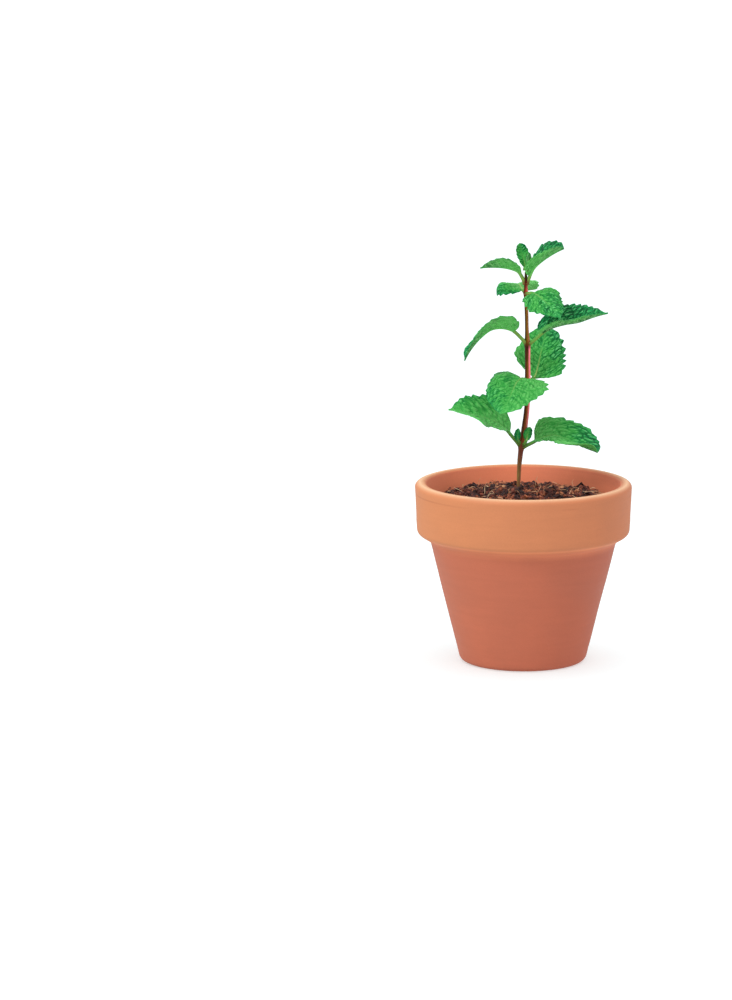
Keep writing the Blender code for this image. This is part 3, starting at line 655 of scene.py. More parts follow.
def crumb_material(mix):
    """Composted bark: from nearly black through red brown to dry tan, over a fine grain.
    Each crumb has a tone."""
    material, tree = new_material("composted_bark", Metallic=0.0, Roughness=0.7,
                                  Specular_IOR_Level=0.3)
    place = add_node(tree, "TexCoord", output="Object")
    tone = add_node(tree, "Attribute", output="Fac", attribute_name="tone")
    grain = add_node(tree, "TexNoise", (place, per_mm(0.9), 4.0, 0.65))
    spread = add_node(tree, "Math", (grain, 0.5), operation="SUBTRACT")
    mixed = add_node(tree, "Math", (spread, 1.3, tone), operation="MULTIPLY_ADD")
    bark = add_node(tree, "ValToRGB", (mixed,), stops=[
        (0.05, mix.dark_colour), (0.35, linear("#50251e")), (0.6, linear("#88462e")),
        (0.85, mix.light_colour), (1.0, linear("#c48d66"))])
    bump = add_node(tree, "Bump", {"Height": grain, "Strength": 0.9, "Distance": 0.3 * MM})
    link_shader(tree, Base_Color=bark, Normal=bump)
    return material


def fibre_material(mix):
    """Coir: dry tan husk fibre with a dull straw shine, browner where it is damp."""
    material, tree = new_material("coir_fibre", Metallic=0.0, Roughness=0.7)
    place = add_node(tree, "TexCoord", output="Object")
    tone = add_node(tree, "Attribute", output="Fac", attribute_name="tone")
    streak = add_node(tree, "TexNoise", (place, per_mm(1.2), 2.0))
    mixed = add_node(tree, "Math", (streak, 0.5, tone), operation="MULTIPLY_ADD")
    straw = add_node(tree, "ValToRGB", (mixed,), stops=[
        (0.0, linear("#5a2f20")), (0.5, linear("#a9683f")), (0.9, mix.fibre_colour)])
    link_shader(tree, Base_Color=straw)
    return material


def stem_material():
    """A mint stem: soft and slightly glossy, grey olive at its foot, purple at the nodes,
    red brown between them, with a pink ridge on its right side that is partly pink skin and
    partly a painted highlight, and painted shade down its left side."""
    material, tree = new_material("mint_stem", Metallic=0.0, Roughness=0.5,
                                  Specular_IOR_Level=0.04)
    place = add_node(tree, "TexCoord", output="Object")
    height = add_node(tree, "SeparateXYZ", (place,), "Z")
    height = add_node(tree, "MapRange", (height, 66.0 * MM, 155.0 * MM))
    skin = add_node(tree, "ValToRGB", (height,), stops=[
        (0.00, linear("#7c5038")), (0.08, linear("#80693c")), (0.17, linear("#744436")),
        (0.24, linear("#864626")), (0.42, linear("#86481a")), (0.55, linear("#7c4a16")),
        (0.65, linear("#3f160d")), (0.69, linear("#825a16")), (0.86, linear("#825a18")),
        (0.90, linear("#9c3322")), (0.95, linear("#32100e")), (1.00, linear("#23561f"))])
    # The right side is partly pink skin and partly a painted highlight, and the dark left side is
    # painted shade
    for mark, code in (("sunny", "#fa7f8a"), ("shaded", "#3c1a08")):
        share = add_node(tree, "Attribute", output="Fac", attribute_name=mark)
        skin = add_node(tree, "Mix", (share, skin, linear(code)), data_type="RGBA")
    streak_place = add_node(tree, "Mapping", {"Vector": place, "Scale": (1.0, 1.0, 0.12)})
    streaks = add_node(tree, "TexNoise", (streak_place, per_mm(0.35), 3.0))
    tone = add_node(tree, "MapRange", (streaks, 0.3, 0.7, 0.75, 1.25))
    toned = add_node(tree, "VectorMath", (skin, tone), operation="SCALE")
    bump = add_node(tree, "Bump", {"Height": streaks, "Strength": 0.4, "Distance": 0.06 * MM})
    link_shader(tree, Base_Color=toned, Normal=bump)
    return material


def leaf_material(leaf, name):
    """A mint leaf: soft and nearly matt, puckered between sunken veins. Its colour is painted
    lighter on the puckers and darker down in the veins, with a pale painted sheen on the crests
    of the dark parts. It is darker and more mottled in places, partly in its own colour and
    partly as painted shade, and painted shade darkens its rim. The underside is duller. The
    midrib is a fine pale line, and the stalk is yellow green and turns red brown at its foot."""
    material, tree = new_material(name, Metallic=0.0, Specular_IOR_Level=0.07)
    marks = {mark: add_node(tree, "Attribute", output="Fac", attribute_name=mark)
             for mark in ("puff", "vein", "rib", "stalk", "shade", "underside", "foot")}
    place = add_node(tree, "TexCoord", output="Object")
    # Millimetres along and across the veins
    vein_place = add_node(tree, "Attribute", output="Vector", attribute_name="vein_place")
    patches, strokes = (
        add_node(tree, "TexNoise", (add_node(tree, "Mapping", {"Vector": vein_place,
                                                               "Scale": scales}),
                                    1.0, detail, 0.6))
        for scales, detail in (((0.9, 0.7, 1.0), 3.0), ((2.6, 1.1, 1.0), 2.0)))
    blotch = add_node(tree, "TexNoise", (vein_place, 0.26, 2.0, 0.5))
    grain = add_node(tree, "TexNoise", (place, per_mm(0.35), 2.0, 0.6))
    # The veins come and go over the leaf, and are faint where it is smooth and bright
    vein_part = add_node(tree, "Math", (marks["shade"], 0.25, blotch), operation="MULTIPLY_ADD")
    vein_part = add_node(tree, "MapRange", (vein_part, 0.35, 0.6, 0.0, -1.7))
    # The colour follows the relief: painted shade down in the veins, painted light on the puckers
    relief = add_node(tree, "Math", (marks["vein"], vein_part, marks["puff"]),
                      operation="MULTIPLY_ADD")
    mask = add_node(tree, "Math", (blotch, 1.6, marks["shade"]), operation="MULTIPLY_ADD")
    mask = add_node(tree, "MapRange", (mask, 0.95, 1.65))
    relief_share, amount, vein_share = (
        add_node(tree, "MapRange", (mask, 0.0, 1.0, low, high))
        for low, high in ((0.12, 0.25), (0.6, 1.4), (0.2, 0.9)))
    # The fine mottling is weak on the bright parts and strong on the dark ones
    noise = add_node(tree, "Mix", (0.5, patches, strokes))
    noise = add_node(tree, "Mix", (amount, 0.5, noise), clamp_factor=False)
    level = add_node(tree, "Math", (relief, relief_share, noise), operation="MULTIPLY_ADD")
    level = add_node(tree, "Math", (marks["shade"], -0.12, level), operation="MULTIPLY_ADD")
    # The palest stop of the dark ramp is a painted sheen on the crests
    bright, dark = (add_node(tree, "ValToRGB", (level,), stops=stops) for stops in (
        [(0.36, linear("#1a7430")), (0.52, linear("#389440")), (0.74, leaf.lit_colour)],
        [(0.30, leaf.vein_shade_colour), (0.42, linear("#0b6c38")), (0.54, linear("#1e8a49")),
         (0.74, linear("#5fb06e"))]))
    top = add_node(tree, "Mix", (mask, bright, dark), data_type="RGBA")
    pale, deep = (add_node(tree, "ValToRGB", (noise,), stops=stops) for stops in (
        [(0.35, linear("#409a46")), (0.65, leaf.under_colour)],
        [(0.36, linear("#0a4a22")), (0.5, linear("#1f7236")), (0.66, linear("#5f9f58"))]))
    below = add_node(tree, "Mix", (mask, pale, deep), data_type="RGBA")
    vein_share = add_node(tree, "Math", (marks["vein"], vein_share), operation="MULTIPLY")
    below = add_node(tree, "Mix", (vein_share, below, linear("#90c282")), data_type="RGBA")
    stalk = add_node(tree, "Mix", (marks["underside"], linear("#5c9844"), linear("#739646")),
                     data_type="RGBA")
    green = top
    for share, other in ((marks["underside"], below), (marks["rib"], linear("#a9b86c")),
                         (marks["stalk"], stalk), (marks["foot"], linear("#5c2c1a"))):
        green = add_node(tree, "Mix", (share, green, other), data_type="RGBA")
    rough = add_node(tree, "MapRange", (marks["underside"], 0.0, 1.0, 0.42, 0.6))
    bump = add_node(tree, "Bump", {"Height": grain, "Strength": 0.3, "Distance": 0.05 * MM})
    link_shader(tree, Base_Color=green, Roughness=rough, Normal=bump)
    return material


def smooth_route(points):
    """A smooth curve through the points, as close points with their distances along it."""
    points = np.array(points, dtype=float)
    steps = np.linalg.norm(np.diff(points[:, :3], axis=0), axis=1)
    knots = np.concatenate(([0.0], np.cumsum(steps)))
    slopes = np.gradient(points, knots, axis=0)
    places = np.linspace(0.0, knots[-1], CURVE_POINTS)
    span = np.clip(np.searchsorted(knots, places, side="right") - 1, 0, len(knots) - 2)
    reach = (knots[span + 1] - knots[span])[:, None]
    u = (places - knots[span])[:, None] / reach
    curve = ((2 * u**3 - 3 * u**2 + 1) * points[span]
             + (u**3 - 2 * u**2 + u) * reach * slopes[span]
             + (3 * u**2 - 2 * u**3) * points[span + 1]
             + (u**3 - u**2) * reach * slopes[span + 1])
    steps = np.linalg.norm(np.diff(curve[:, :3], axis=0), axis=1)
    return curve, np.concatenate(([0.0], np.cumsum(steps)))


def at_distance(curve, distances, wanted):
    """Read the curve at the wanted distances along it."""
    return np.stack([np.interp(wanted, distances, column) for column in curve.T], axis=1)


def along(values, shares):
    """Values given at even steps from base to tip, read smoothly at shares of the way."""
    values = np.array(values, dtype=float)
    steps = np.linspace(0.0, 1.0, len(values))
    fine = np.linspace(-0.2, 1.2, 141)
    window = np.hanning(23)
    window /= window.sum()
    columns = []
    for column in values.T:
        dense = np.convolve(np.interp(fine, steps, column), window, mode="same")
        columns.append(np.interp(shares, fine, dense))
    return np.stack(columns, axis=1)


def blade_outline(share, fullness):
    """Half width of the blade, as a share of its greatest, from base to tip."""
    at_base, at_tip = fullness
    peak = at_base / (at_base + at_tip)
    top = peak**at_base * (1.0 - peak)**at_tip
    return share**at_base * (1.0 - share)**at_tip / top


def midline(leaf, rows):
    """Where the leaf's rows lie: their distances from the stem, how far along the blade they
    are, and their centres, directions and upward normals."""
    curve, distances = smooth_route(leaf["route"])
    total, stalk = distances[-1], leaf["stalk"]
    steps = np.linspace(0.0, 1.0, rows - STALK_ROWS)
    places = np.concatenate((np.linspace(0.0, stalk, STALK_ROWS, endpoint=False),
                             stalk + (total - stalk) * steps**1.5))
    share = ramp(places, stalk, total)
    ahead = at_distance(curve, distances, np.minimum(places + LOOK_AHEAD, total))
    behind = at_distance(curve, distances, np.maximum(places - LOOK_AHEAD, 0.0))
    tangents = unit(ahead - behind)
    faces = unit(along(leaf["faces"], share))
    normals = unit(faces - np.sum(faces * tangents, axis=1, keepdims=True) * tangents)
    return places, share, at_distance(curve, distances, places), tangents, normals


def folded_halves(leaf, share, reach, side):
    """How far out and up the points of a half of unit width lie, and how steeply they rise."""
    folds, arches = (np.radians(along(leaf[key], share))[:, :, None] for key in ("folds", "arches"))
    curl_start, curl_power = leaf["curl"]
    fine = np.linspace(0.0, 1.0, FOLD_STEPS + 1)
    bends = (folds * (1.0 - np.exp(-fine / 0.06))
             - arches * ramp(fine, curl_start, 1.0) ** curl_power)
    middles = (bends[:, :, 1:] + bends[:, :, :-1]) / 2.0
    at_rib = np.zeros(bends.shape[:2] + (1,))
    outs, rises = (np.concatenate((at_rib, np.cumsum(part, axis=2) / FOLD_STEPS), axis=2)
                   for part in (np.cos(middles), np.sin(middles)))
    where = reach * FOLD_STEPS
    step = np.minimum(where.astype(int), FOLD_STEPS - 1)
    beyond = where - step
    return [table[:, side, step] * (1.0 - beyond) + table[:, side, step + 1] * beyond
            for table in (outs, rises, bends)]


def saw_teeth(leaf, share, width, outline, side, deepest, seed):
    """How far the margin is cut in between its teeth, and how far their points are drawn on.
    They lean towards the tip, each a little different."""
    phase = share * leaf["teeth"] + 0.15 * waves(share * 9.0, share * 0.0, 3.0, seed)
    phase = phase + 0.35 * side
    tooth = np.floor(phase)
    part_way = phase - tooth
    saw = np.where(part_way < TOOTH_POINT, (part_way / TOOTH_POINT) ** 0.85,
                   (1.0 - part_way) / (1.0 - TOOTH_POINT))
    uneven = 1.0 + 0.25 * np.sin(tooth * 2.3 + seed + 3.0 * side)
    depth = np.minimum(deepest, 0.12 * width) * np.minimum(1.0, 1.6 * outline)
    depth = depth * uneven * np.array(leaf["bites"])[side]
    return depth * (1.0 - saw), 0.12 * depth * saw**2


def blade_relief(along_mm, across_mm, sign, blade, seed):
    """How far each point stands up between the veins, how close it is to one, and its place
    along the row of veins."""
    spacing = blade / VEIN_COUNT
    warp = 0.35 * waves(along_mm, across_mm * sign, 5.0, seed) * min(1.0, blade / 15.0)
    order = (along_mm + warp - VEIN_SLANT * across_mm - VEIN_SWEEP * across_mm**2) / spacing
    order = order + 0.25 * sign
    from_vein = np.abs(order - np.round(order)) * spacing
    ridge = np.abs(np.sin(np.pi * order))
    net = cells(order * 1.7 + 0.2 * waves(along_mm, across_mm, 3.0, seed + 1),
                across_mm * sign / (1.05 * spacing / 2.0), seed % 17 + 0.37)
    puff = np.clip(net * 2.0, 0.0, 1.0)
    puff = puff * puff * (3.0 - 2.0 * puff)
    vein = np.maximum(bell(from_vein, 0.0, 0.3), 0.7 * bell(net, 0.0, 0.13))
    return 0.28 * ridge + 0.72 * puff, vein, order * spacing


def stalk_section(places, share, columns):
    """The stalk's upper and lower half, with a groove on top and a swollen foot."""
    angle = math.pi * (1.0 - (np.arange(columns) + 0.5) / columns)
    radius = min(0.72, 0.18 + 0.045 * places[-1]) * (1.0 + 0.5 * np.exp(-places / 0.9))
    radius = (radius * (1.0 - 0.5 * share))[:, None, None]
    groove = 0.72 - 0.22 * bell(np.cos(angle), 0.0, 0.4)
    return (radius * np.stack((np.cos(angle), np.sin(angle) * groove), axis=-1),
            radius * np.stack((np.cos(angle), -1.2 * np.sin(angle)), axis=-1))


def leaf_points(name, leaf, settings, rows, columns):
    """Upper and lower points across the leaf, and what the material reads at each."""
    seed = sum(ord(letter) for letter in name)
    places, share, centres, tangents, normals = midline(leaf, rows)
    blade = places[-1] - leaf["stalk"]
    grown = min(1.0, blade / 12.0)
    run = share[:, None]
    across = np.linspace(-1.0, 1.0, columns)
    reach, side = np.abs(across), np.where(across < 0.0, 0, 1)
    sign = np.where(across < 0.0, -1.0, 1.0)
    outlines = blade_outline(run, leaf["fullness"]) * along(leaf["margins"], share)
    outline = np.minimum(outlines.mean(axis=1, keepdims=True), 1.0)
    width = np.array(leaf["halves"])[side] * outlines[:, side]
    along_mm = run * blade + np.zeros_like(width)
    across_mm = width * reach

    # The puckers and the sunken rib, which fade out at the margins
    puff, vein, order_mm = blade_relief(along_mm, across_mm, sign, blade, seed)
    fade = (ramp(across_mm, 0.0, 0.9) * (1.0 - 0.65 * ramp(reach, 0.8, 1.0))
            * np.clip(outline * 1.3, 0.0, 1.0) * grown)
    height = settings.pucker / MM * (puff - 0.5) * fade
    height = height + 0.45 * waves(along_mm, across_mm * sign, 11.0, seed + 5) * reach**2 * fade
    rib_line = bell(across_mm, 0.0, 0.16 + 0.26 * (1.0 - run))
    height = height - 0.16 * rib_line * (1.0 - 0.5 * run)
    thin = settings.thickness / MM * (1.0 - 0.35 * reach**4)
    rib_deep = (0.42 * (1.0 - run) ** 1.1 + 0.05) * grown * rib_line
    rib_deep = rib_deep + 0.07 * vein * fade

    # The folded blade across the midline, with its margin cut into teeth
    out, rise, tilt = folded_halves(leaf, share, reach, side)
    tilt = tilt * sign
    at_margin = ramp(reach, 0.78, 1.0) ** 1.5
    notch, forward = (cut * at_margin for cut in saw_teeth(
        leaf, run, width, outline, side, settings.tooth / MM, seed))
    flat = np.stack(((width * out - notch * np.cos(tilt)) * sign,
                     width * rise - notch * np.abs(np.sin(tilt)) * np.sign(rise)), axis=-1)
    lean = np.stack((-np.sin(tilt), np.cos(tilt)), axis=-1)
    blade_top = flat + lean * (height + thin / 2.0)[..., None]
    blade_bottom = flat + lean * (height - thin / 2.0 - rib_deep)[..., None]

    # The stalk opens out into the blade
    opening = np.clip(outline * 2.2, 0.0, 1.0)
    opening = opening * opening * (3.0 - 2.0 * opening)
    round_top, round_bottom = stalk_section(places, share, columns)
    sweeps = along(leaf["sweeps"], share)[:, side]
    lobes = np.array(leaf["lobes"])[side]
    sweep = forward + (sweeps - lobes * (1.0 - run) ** 3) * width * reach**2
    middle = centres[:, None, :] + sweep[..., None] * tangents[:, None, :]
    rights = np.cross(tangents, normals)[:, None, :]
    upper, lower = (
        middle + part[..., :1] * rights + part[..., 1:] * normals[:, None, :]
        for part in (round_top + (blade_top - round_top) * opening[..., None],
                     round_bottom + (blade_bottom - round_bottom) * opening[..., None]))

    # The shade mark is partly the leaf's own darker, mottled colour and partly painted shade and
    # light
    left, centre, right = np.hsplit(along(leaf["shade"], share), 3)
    shade = centre + (np.where(across < 0.0, left, right) - centre) * reach
    pale_rib = bell(across_mm, 0.0, 0.13 + 0.12 * (1.0 - run))
    foot = bell(places[:, None], 0.0, 1.6) * min(1.0, leaf["stalk"] / 4.0)
    marks = {
        "puff": puff * fade + 0.5 * (1.0 - fade),
        "vein": vein * fade,
        "rib": pale_rib * np.clip(1.0 - 1.5 * run, 0.1, 1.0) * leaf["rib"],
        "stalk": (1.0 - opening) * (run < 0.5) + np.zeros_like(width),
        # Painted shade darkens the blade along its rim
        "shade": shade + 0.45 * ramp(across_mm, width - 0.55, width - 0.1),
        "foot": foot + np.zeros_like(width),
        "vein_place": np.stack((order_mm, across_mm * sign, np.full_like(width, seed % 50)),
                               axis=-1),
    }
    return upper * MM, lower * MM, marks


def grow_leaf(name, leaf, settings):
    """A flat sheet is given its thickness, and then its points are moved to the leaf's."""
    rows, columns = YOUNG_MESH if name in YOUNG_LEAVES else GROWN_MESH
    deselect_all()
    bpy.ops.mesh.primitive_grid_add(x_subdivisions=columns - 1, y_subdivisions=rows - 1, size=2.0)
    piece = bpy.context.object
    piece.name = name + "_fine"
    bpy.ops.object.modifier_add(type="SOLIDIFY")
    piece.modifiers[-1].thickness = 0.1
    piece.modifiers[-1].offset = -1.0
    bpy.ops.object.modifier_apply(modifier=piece.modifiers[-1].name)
    flat = mesh_points(piece)
    column = np.rint((flat[:, 0] + 1.0) / 2.0 * (columns - 1)).astype(int)
    row = np.rint((flat[:, 1] + 1.0) / 2.0 * (rows - 1)).astype(int)
    is_lower = flat[:, 2] < -0.05
    upper, lower, marks = leaf_points(name, {**USUAL_LEAF, **leaf}, settings, rows, columns)
    set_points(piece, np.where(is_lower[:, None], lower[row, column], upper[row, column]))
    for mark, values in marks.items():
        mark_points(piece, mark, values[row, column])
    mark_points(piece, "underside", is_lower.astype(float))
    face_outwards()
    bpy.ops.object.shade_smooth_by_angle(angle=math.radians(65.0))
    return piece


def roughened(offset, seed):
    """Push the points of the piece in hand about, and take its shape."""
    bpy.ops.transform.vertex_random(offset=offset, uniform=0.1, seed=seed)
    bpy.ops.object.mode_set(mode="OBJECT")
    return taken_shape(bpy.context.object)


def crumb_shape(seed):
    """A rough crumb, from an icosphere."""
    deselect_all()
    bpy.ops.mesh.primitive_ico_sphere_add(subdivisions=2, radius=1.0)
    edit_all()
    return roughened(0.42, seed)


def chip_shape(seed):
    """A splinter of bark, from a flat block."""
    deselect_all()
    bpy.ops.mesh.primitive_cube_add(size=1.0, scale=(2.4, 1.1, 0.5))
    bpy.ops.object.transform_apply(location=False, rotation=False, scale=True)
    edit_all()
    bpy.ops.mesh.subdivide(number_cuts=1)
    return roughened(0.28, seed)


def tube_shape():
    """A straight tube of radius 1 from -1 to 1 on the X axis, drawn out from a disc."""
    deselect_all()
    bpy.ops.mesh.primitive_circle_add(vertices=5, radius=1.0, fill_type="NGON",
                                      rotation=(0.0, math.pi / 2.0, 0.0),
                                      location=(-1.0, 0.0, 0.0))
    bpy.ops.object.transform_apply(location=True, rotation=True, scale=False)
    edit_all()
    for _ in range(10):
        bpy.ops.mesh.extrude_region_move(TRANSFORM_OT_translate={"value": (0.2, 0.0, 0.0)})
    face_outwards()
    return taken_shape(bpy.context.object)


def spot_on_mix(rng, margin, lump):
    """A random spot on the mix, this far from the pot's wall, with the height there."""
    angle, out = rng.uniform(0.0, 2.0 * math.pi), math.sqrt(rng.random())
    radius = out * (inner_radius(MIX_EDGE_Z) - margin)
    x, y = radius * math.cos(angle), radius * math.sin(angle)
    return x, y, float(mix_height(x, y, lump))


class MINT_OT_pot(bpy.types.Operator):
    """Turn the clay pot from its outline"""
    bl_idname = "mint.turn_pot"
    bl_label = "Turn the pot"

    def execute(self, context):
        clay = context.scene.mint_clay
        outline = rounded_outline([
            (DRAIN_RADIUS, 0.0, DRAIN_ROUND),
            (BASE_RADIUS, 0.0, BASE_ROUND),
            (SHOULDER_RADIUS, SHOULDER_Z, SHOULDER_ROUND),
            (RIM_FOOT_RADIUS, POT_HEIGHT - RIM_HEIGHT, RIM_FOOT_ROUND),
            (clay.rim_radius / MM, POT_HEIGHT, RIM_TOP_ROUND),
            (LIP_INNER_RADIUS, POT_HEIGHT, LIP_ROUND),
            (FLOOR_INNER_RADIUS, FLOOR_THICKNESS, INNER_FLOOR_ROUND),
            (DRAIN_RADIUS, FLOOR_THICKNESS, DRAIN_ROUND),
        ])
        pot = turned_body("clay_pot", closely_spaced(outline, OUTLINE_STEP), POT_STEPS)
        x, y, z = mesh_points(pot).T / MM
        angle, radius = np.arctan2(y, x), np.hypot(x, y)
        outer = ramp(radius, DRAIN_RADIUS, DRAIN_RADIUS + 4.0) * ramp(z, 0.0, 3.0)
        ring = np.sin(2.0 * math.pi * z / TURNING_PITCH + 0.5 * np.sin(angle))
        ring = ring * waves(z, angle * 0.4, 14.0, 4)
        push = clay.ridge / MM * ring + 0.05 * waves(angle * 30.0, z, 22.0, 6)
        scale = 1.0 + push * outer / np.maximum(radius, 1.0)
        set_points(pot, np.stack((x * scale, y * scale, z), axis=1) * MM)
        # Inside the pot, where the clay is redder and painted brighter against the shade
        inside = ramp(inner_radius(z) + 0.9 - radius, 0.0, 0.5) * ramp(z, 3.0, 5.0)
        mark_points(pot, "inner", inside * ramp(POT_HEIGHT - z, 0.1, 0.7))
        # A painted highlight along the rim's foot, and painted light on the wall under the rim,
        # partly its own warmer colour
        on_rim = radius > (SHOULDER_RADIUS + RIM_FOOT_RADIUS) / 2.0
        orange = np.where(on_rim, 0.7 * bell(z, RIM_FOOT_HIGHLIGHT_Z, 0.6),
                          0.48 * bell(z, UNDER_RIM_LIGHT_Z, 1.8))
        mark_points(pot, "orange", orange * (1.0 - inside))
        # The lip's pale edge: partly rubbed clay, partly a painted highlight
        edge = bell(radius, LIP_EDGE_RADIUS, 1.2) * np.clip((z - LIP_EDGE_Z) / 0.8, 0.0, 0.75)
        mark_points(pot, "edge", edge)
        settle(pot, terracotta(clay), "terracotta", "pot")
        return {"FINISHED"}


class MINT_OT_mix(bpy.types.Operator):
    """Fill the pot with bark and coir, and strew crumbs, chips and fibres on top"""
    bl_idname = "mint.fill_mix"
    bl_label = "Fill in the mix"

    def execute(self, context):
        mix = context.scene.mint_mix
        lump = mix.lump / MM
        bark = crumb_material(mix)
        self.make_bed(lump, bark)
        rng = random.Random(MIX_SEED)
        crumbs = [crumb_shape(seed) for seed in range(CRUMB_SHAPES)]
        chips = [chip_shape(seed + 20) for seed in range(CHIP_SHAPES)]
        self.strew("bark_crumbs", crumbs, mix.crumbs, rng, CRUMB_SIZES, 0.25, 0.7, lump, bark)
        self.strew("bark_chips", chips, mix.chips, rng, CHIP_SIZES, 0.2, 1.3, lump, bark)
        self.lay_fibres(mix.fibres, rng, lump, fibre_material(mix))
        return {"FINISHED"}

    def make_bed(self, lump, bark):
        """The body of the mix, from the pot's floor to its lumpy surface."""
        floor_z = FLOOR_THICKNESS + GAP
        wall_z = floor_z + INNER_FLOOR_ROUND
        edge = inner_radius(MIX_EDGE_Z) - WALL_GAP
        outline = [(0.0, floor_z), (inner_radius(wall_z) - INNER_FLOOR_ROUND, floor_z),
                   (inner_radius(wall_z) - WALL_GAP, wall_z), (edge, MIX_EDGE_Z)]
        for ring in range(1, MIX_RINGS + 1):
            outline.append((edge * (1.0 - ring / MIX_RINGS), MIX_EDGE_Z))
        bed = turned_body("mix_bed", [np.array(point) for point in outline], MIX_STEPS)
        x, y, z = mesh_points(bed).T / MM
        lumps = lump * np.clip((edge - np.hypot(x, y)) / 3.0, 0.15, 1.0)
        z = np.where(z > MIX_EDGE_Z - 0.1, mix_height(x, y, lumps), z)
        set_points(bed, np.stack((x, y, z), axis=1) * MM)
        mark_points(bed, "tone", np.full(len(z), 0.2))
        settle(bed, bark, "soil", "soil")

    def strew(self, name, models, count, rng, sizes, sink, tip, lump, material):
        """Copies of the models, strewn over the surface, tipped and sunk into it a little."""
        smallest, largest = sizes
        places = []
        while len(places) < count:
            size = smallest + (largest - smallest) * rng.random() ** 2.2
            x, y, z = spot_on_mix(rng, 0.4 + 1.5 * size, lump)
            z += size * (0.5 - sink)
            stretch = [size * rng.uniform(0.75, 1.25) * MM for _ in range(3)]
            turns = [rng.uniform(-tip, tip), rng.uniform(-tip, tip), rng.uniform(0.0, 6.3)]
            tone = rng.gauss(0.31, 0.23) + 0.16 * float(waves(x, y, 11.0, 31))
            places.append((rng.randrange(len(models)),
                           placed((x * MM, y * MM, z * MM), turns, stretch),
                           min(1.0, max(0.0, tone))))
        settle(copied_shapes(name, models, places), material, "soil")

    def lay_fibres(self, count, rng, lump, material):
        """Thin bent fibres laid over the crumbs, one in four of them standing up."""
        points, faces = tube_shape()
        share = points[:, 0]
        models, places = [], []
        for index in range(count):
            upright = index % 4 == 0
            size = rng.uniform(3.0, 6.5) if upright else rng.uniform(2.5, 7.0)
            bend, twist = rng.uniform(-0.9, 0.9), rng.uniform(-0.5, 0.9)
            thick = rng.uniform(0.06, 0.14) * (1.0 - 0.55 * share**2)
            bow = bend * 0.25 * share**2 + 0.12 * np.sin(share * 3.1 + bend)
            dip = -twist * 0.08 * share**2 + 0.05 * np.sin(share * 4.0)
            models.append((np.stack((size * share / 2.0, size * bow + points[:, 1] * thick,
                                     size * dip + points[:, 2] * thick), axis=1), faces))
            x, y, z = spot_on_mix(rng, 1.0 + 0.6 * size, lump)
            z += rng.uniform(0.7, 1.5)
            turns = [rng.uniform(-0.4, 0.4), rng.gauss(0.0, 0.22), rng.uniform(0.0, 6.3)]
            if upright:
                turns[1] = rng.uniform(-1.45, -0.6)
                z += 0.2 * size
            places.append((index, placed((x * MM, y * MM, z * MM), turns, (MM, MM, MM)),
                           0.8 * rng.random()))
        fibres = copied_shapes("coir_fibres", models, places)
        deselect_all()
        bpy.context.view_layer.objects.active = fibres
        fibres.select_set(True)
        bpy.ops.object.shade_smooth()
        settle(fibres, material, "soil")


class MINT_OT_stem(bpy.types.Operator):
    """Draw out the square stem along its route"""
    bl_idname = "mint.grow_stem"
    bl_label = "Grow the stem"

    def execute(self, context):
        settings = context.scene.mint_stem
        deselect_all()
        bpy.ops.mesh.primitive_circle_add(vertices=STEM_SIDES, radius=1.0, fill_type="NGON")
        stem = bpy.context.object
        stem.name = "mint_stem"
        edit_all()
        for _ in range(STEM_RINGS - 1):
            bpy.ops.mesh.extrude_region_move(TRANSFORM_OT_translate={"value": (0.0, 0.0, 1.0)})
        bpy.ops.object.mode_set(mode="OBJECT")
        straight = mesh_points(stem)
        ring = np.rint(straight[:, 2]).astype(int)
        angle = np.arctan2(straight[:, 1], straight[:, 0])
        curve, distances = smooth_route(STEM_ROUTE)
        wanted = np.linspace(0.0, distances[-1], STEM_RINGS)
        rows = at_distance(curve, distances, wanted)
        centres, radii = rows[:, :3], rows[:, 3]
        for node_z in STEM_NODES:
            radii = radii + settings.swelling / MM * bell(centres[:, 2], node_z, 0.9)
        from_tip = ramp(distances[-1] - wanted, 0.0, STEM_TIP_ROUND)
        radii = radii * np.sqrt(np.clip(1.0 - (1.0 - from_tip) ** 2, 0.04, 1.0))
        tangents = unit(np.gradient(centres, axis=0))
        side = unit(np.cross(tangents, np.array((0.0, 1.0, 0.0))))
        front = np.cross(side, tangents)
        square = np.cos(4.0 * (angle - RIDGE_TURN))
        reach = radii[ring] * (1.0 + settings.squareness * square)
        reach = reach * (1.0 + 0.02 * waves(straight[:, 2], angle, 9.0, 3))
        points = (centres[ring] + (reach * np.cos(angle))[:, None] * side[ring]
                  + (reach * np.sin(angle))[:, None] * front[ring])
        set_points(stem, points * MM)
        to_right, z = unit(points - centres[ring])[:, 0], points[:, 2]
        # Where the painted highlight and pink skin lie on the right, and the painted shade on the
        # left
        mark_points(stem, "sunny", ramp(to_right, 0.38, 0.6) * np.interp(z, PINK_AND_HIGHLIGHT_Z, PINK_AND_HIGHLIGHT))
        mark_points(stem, "shaded", ramp(-to_right, 0.05, 0.4) * np.clip((z - 84.0) / 8.0, 0.0, 0.9))
        face_outwards()
        bpy.ops.object.shade_smooth()
        settle(stem, stem_material(), "stem", "stem")
        return {"FINISHED"}


class MINT_OT_leaves(bpy.types.Operator):
    """Grow each leaf along its midline"""
    bl_idname = "mint.grow_leaves"
    bl_label = "Grow the leaves"

    def execute(self, context):
        settings = context.scene.mint_leaf
        grown = leaf_material(settings, "mint_leaf")
        young = leaf_material(settings, "mint_young_leaf")
        for name, leaf in LEAVES.items():
            piece = grow_leaf(name, leaf, settings)
            if name in YOUNG_LEAVES:
                settle(piece, young, "young_leaf", name)
            else:
                settle(piece, grown, "leaf", name)
        return {"FINISHED"}


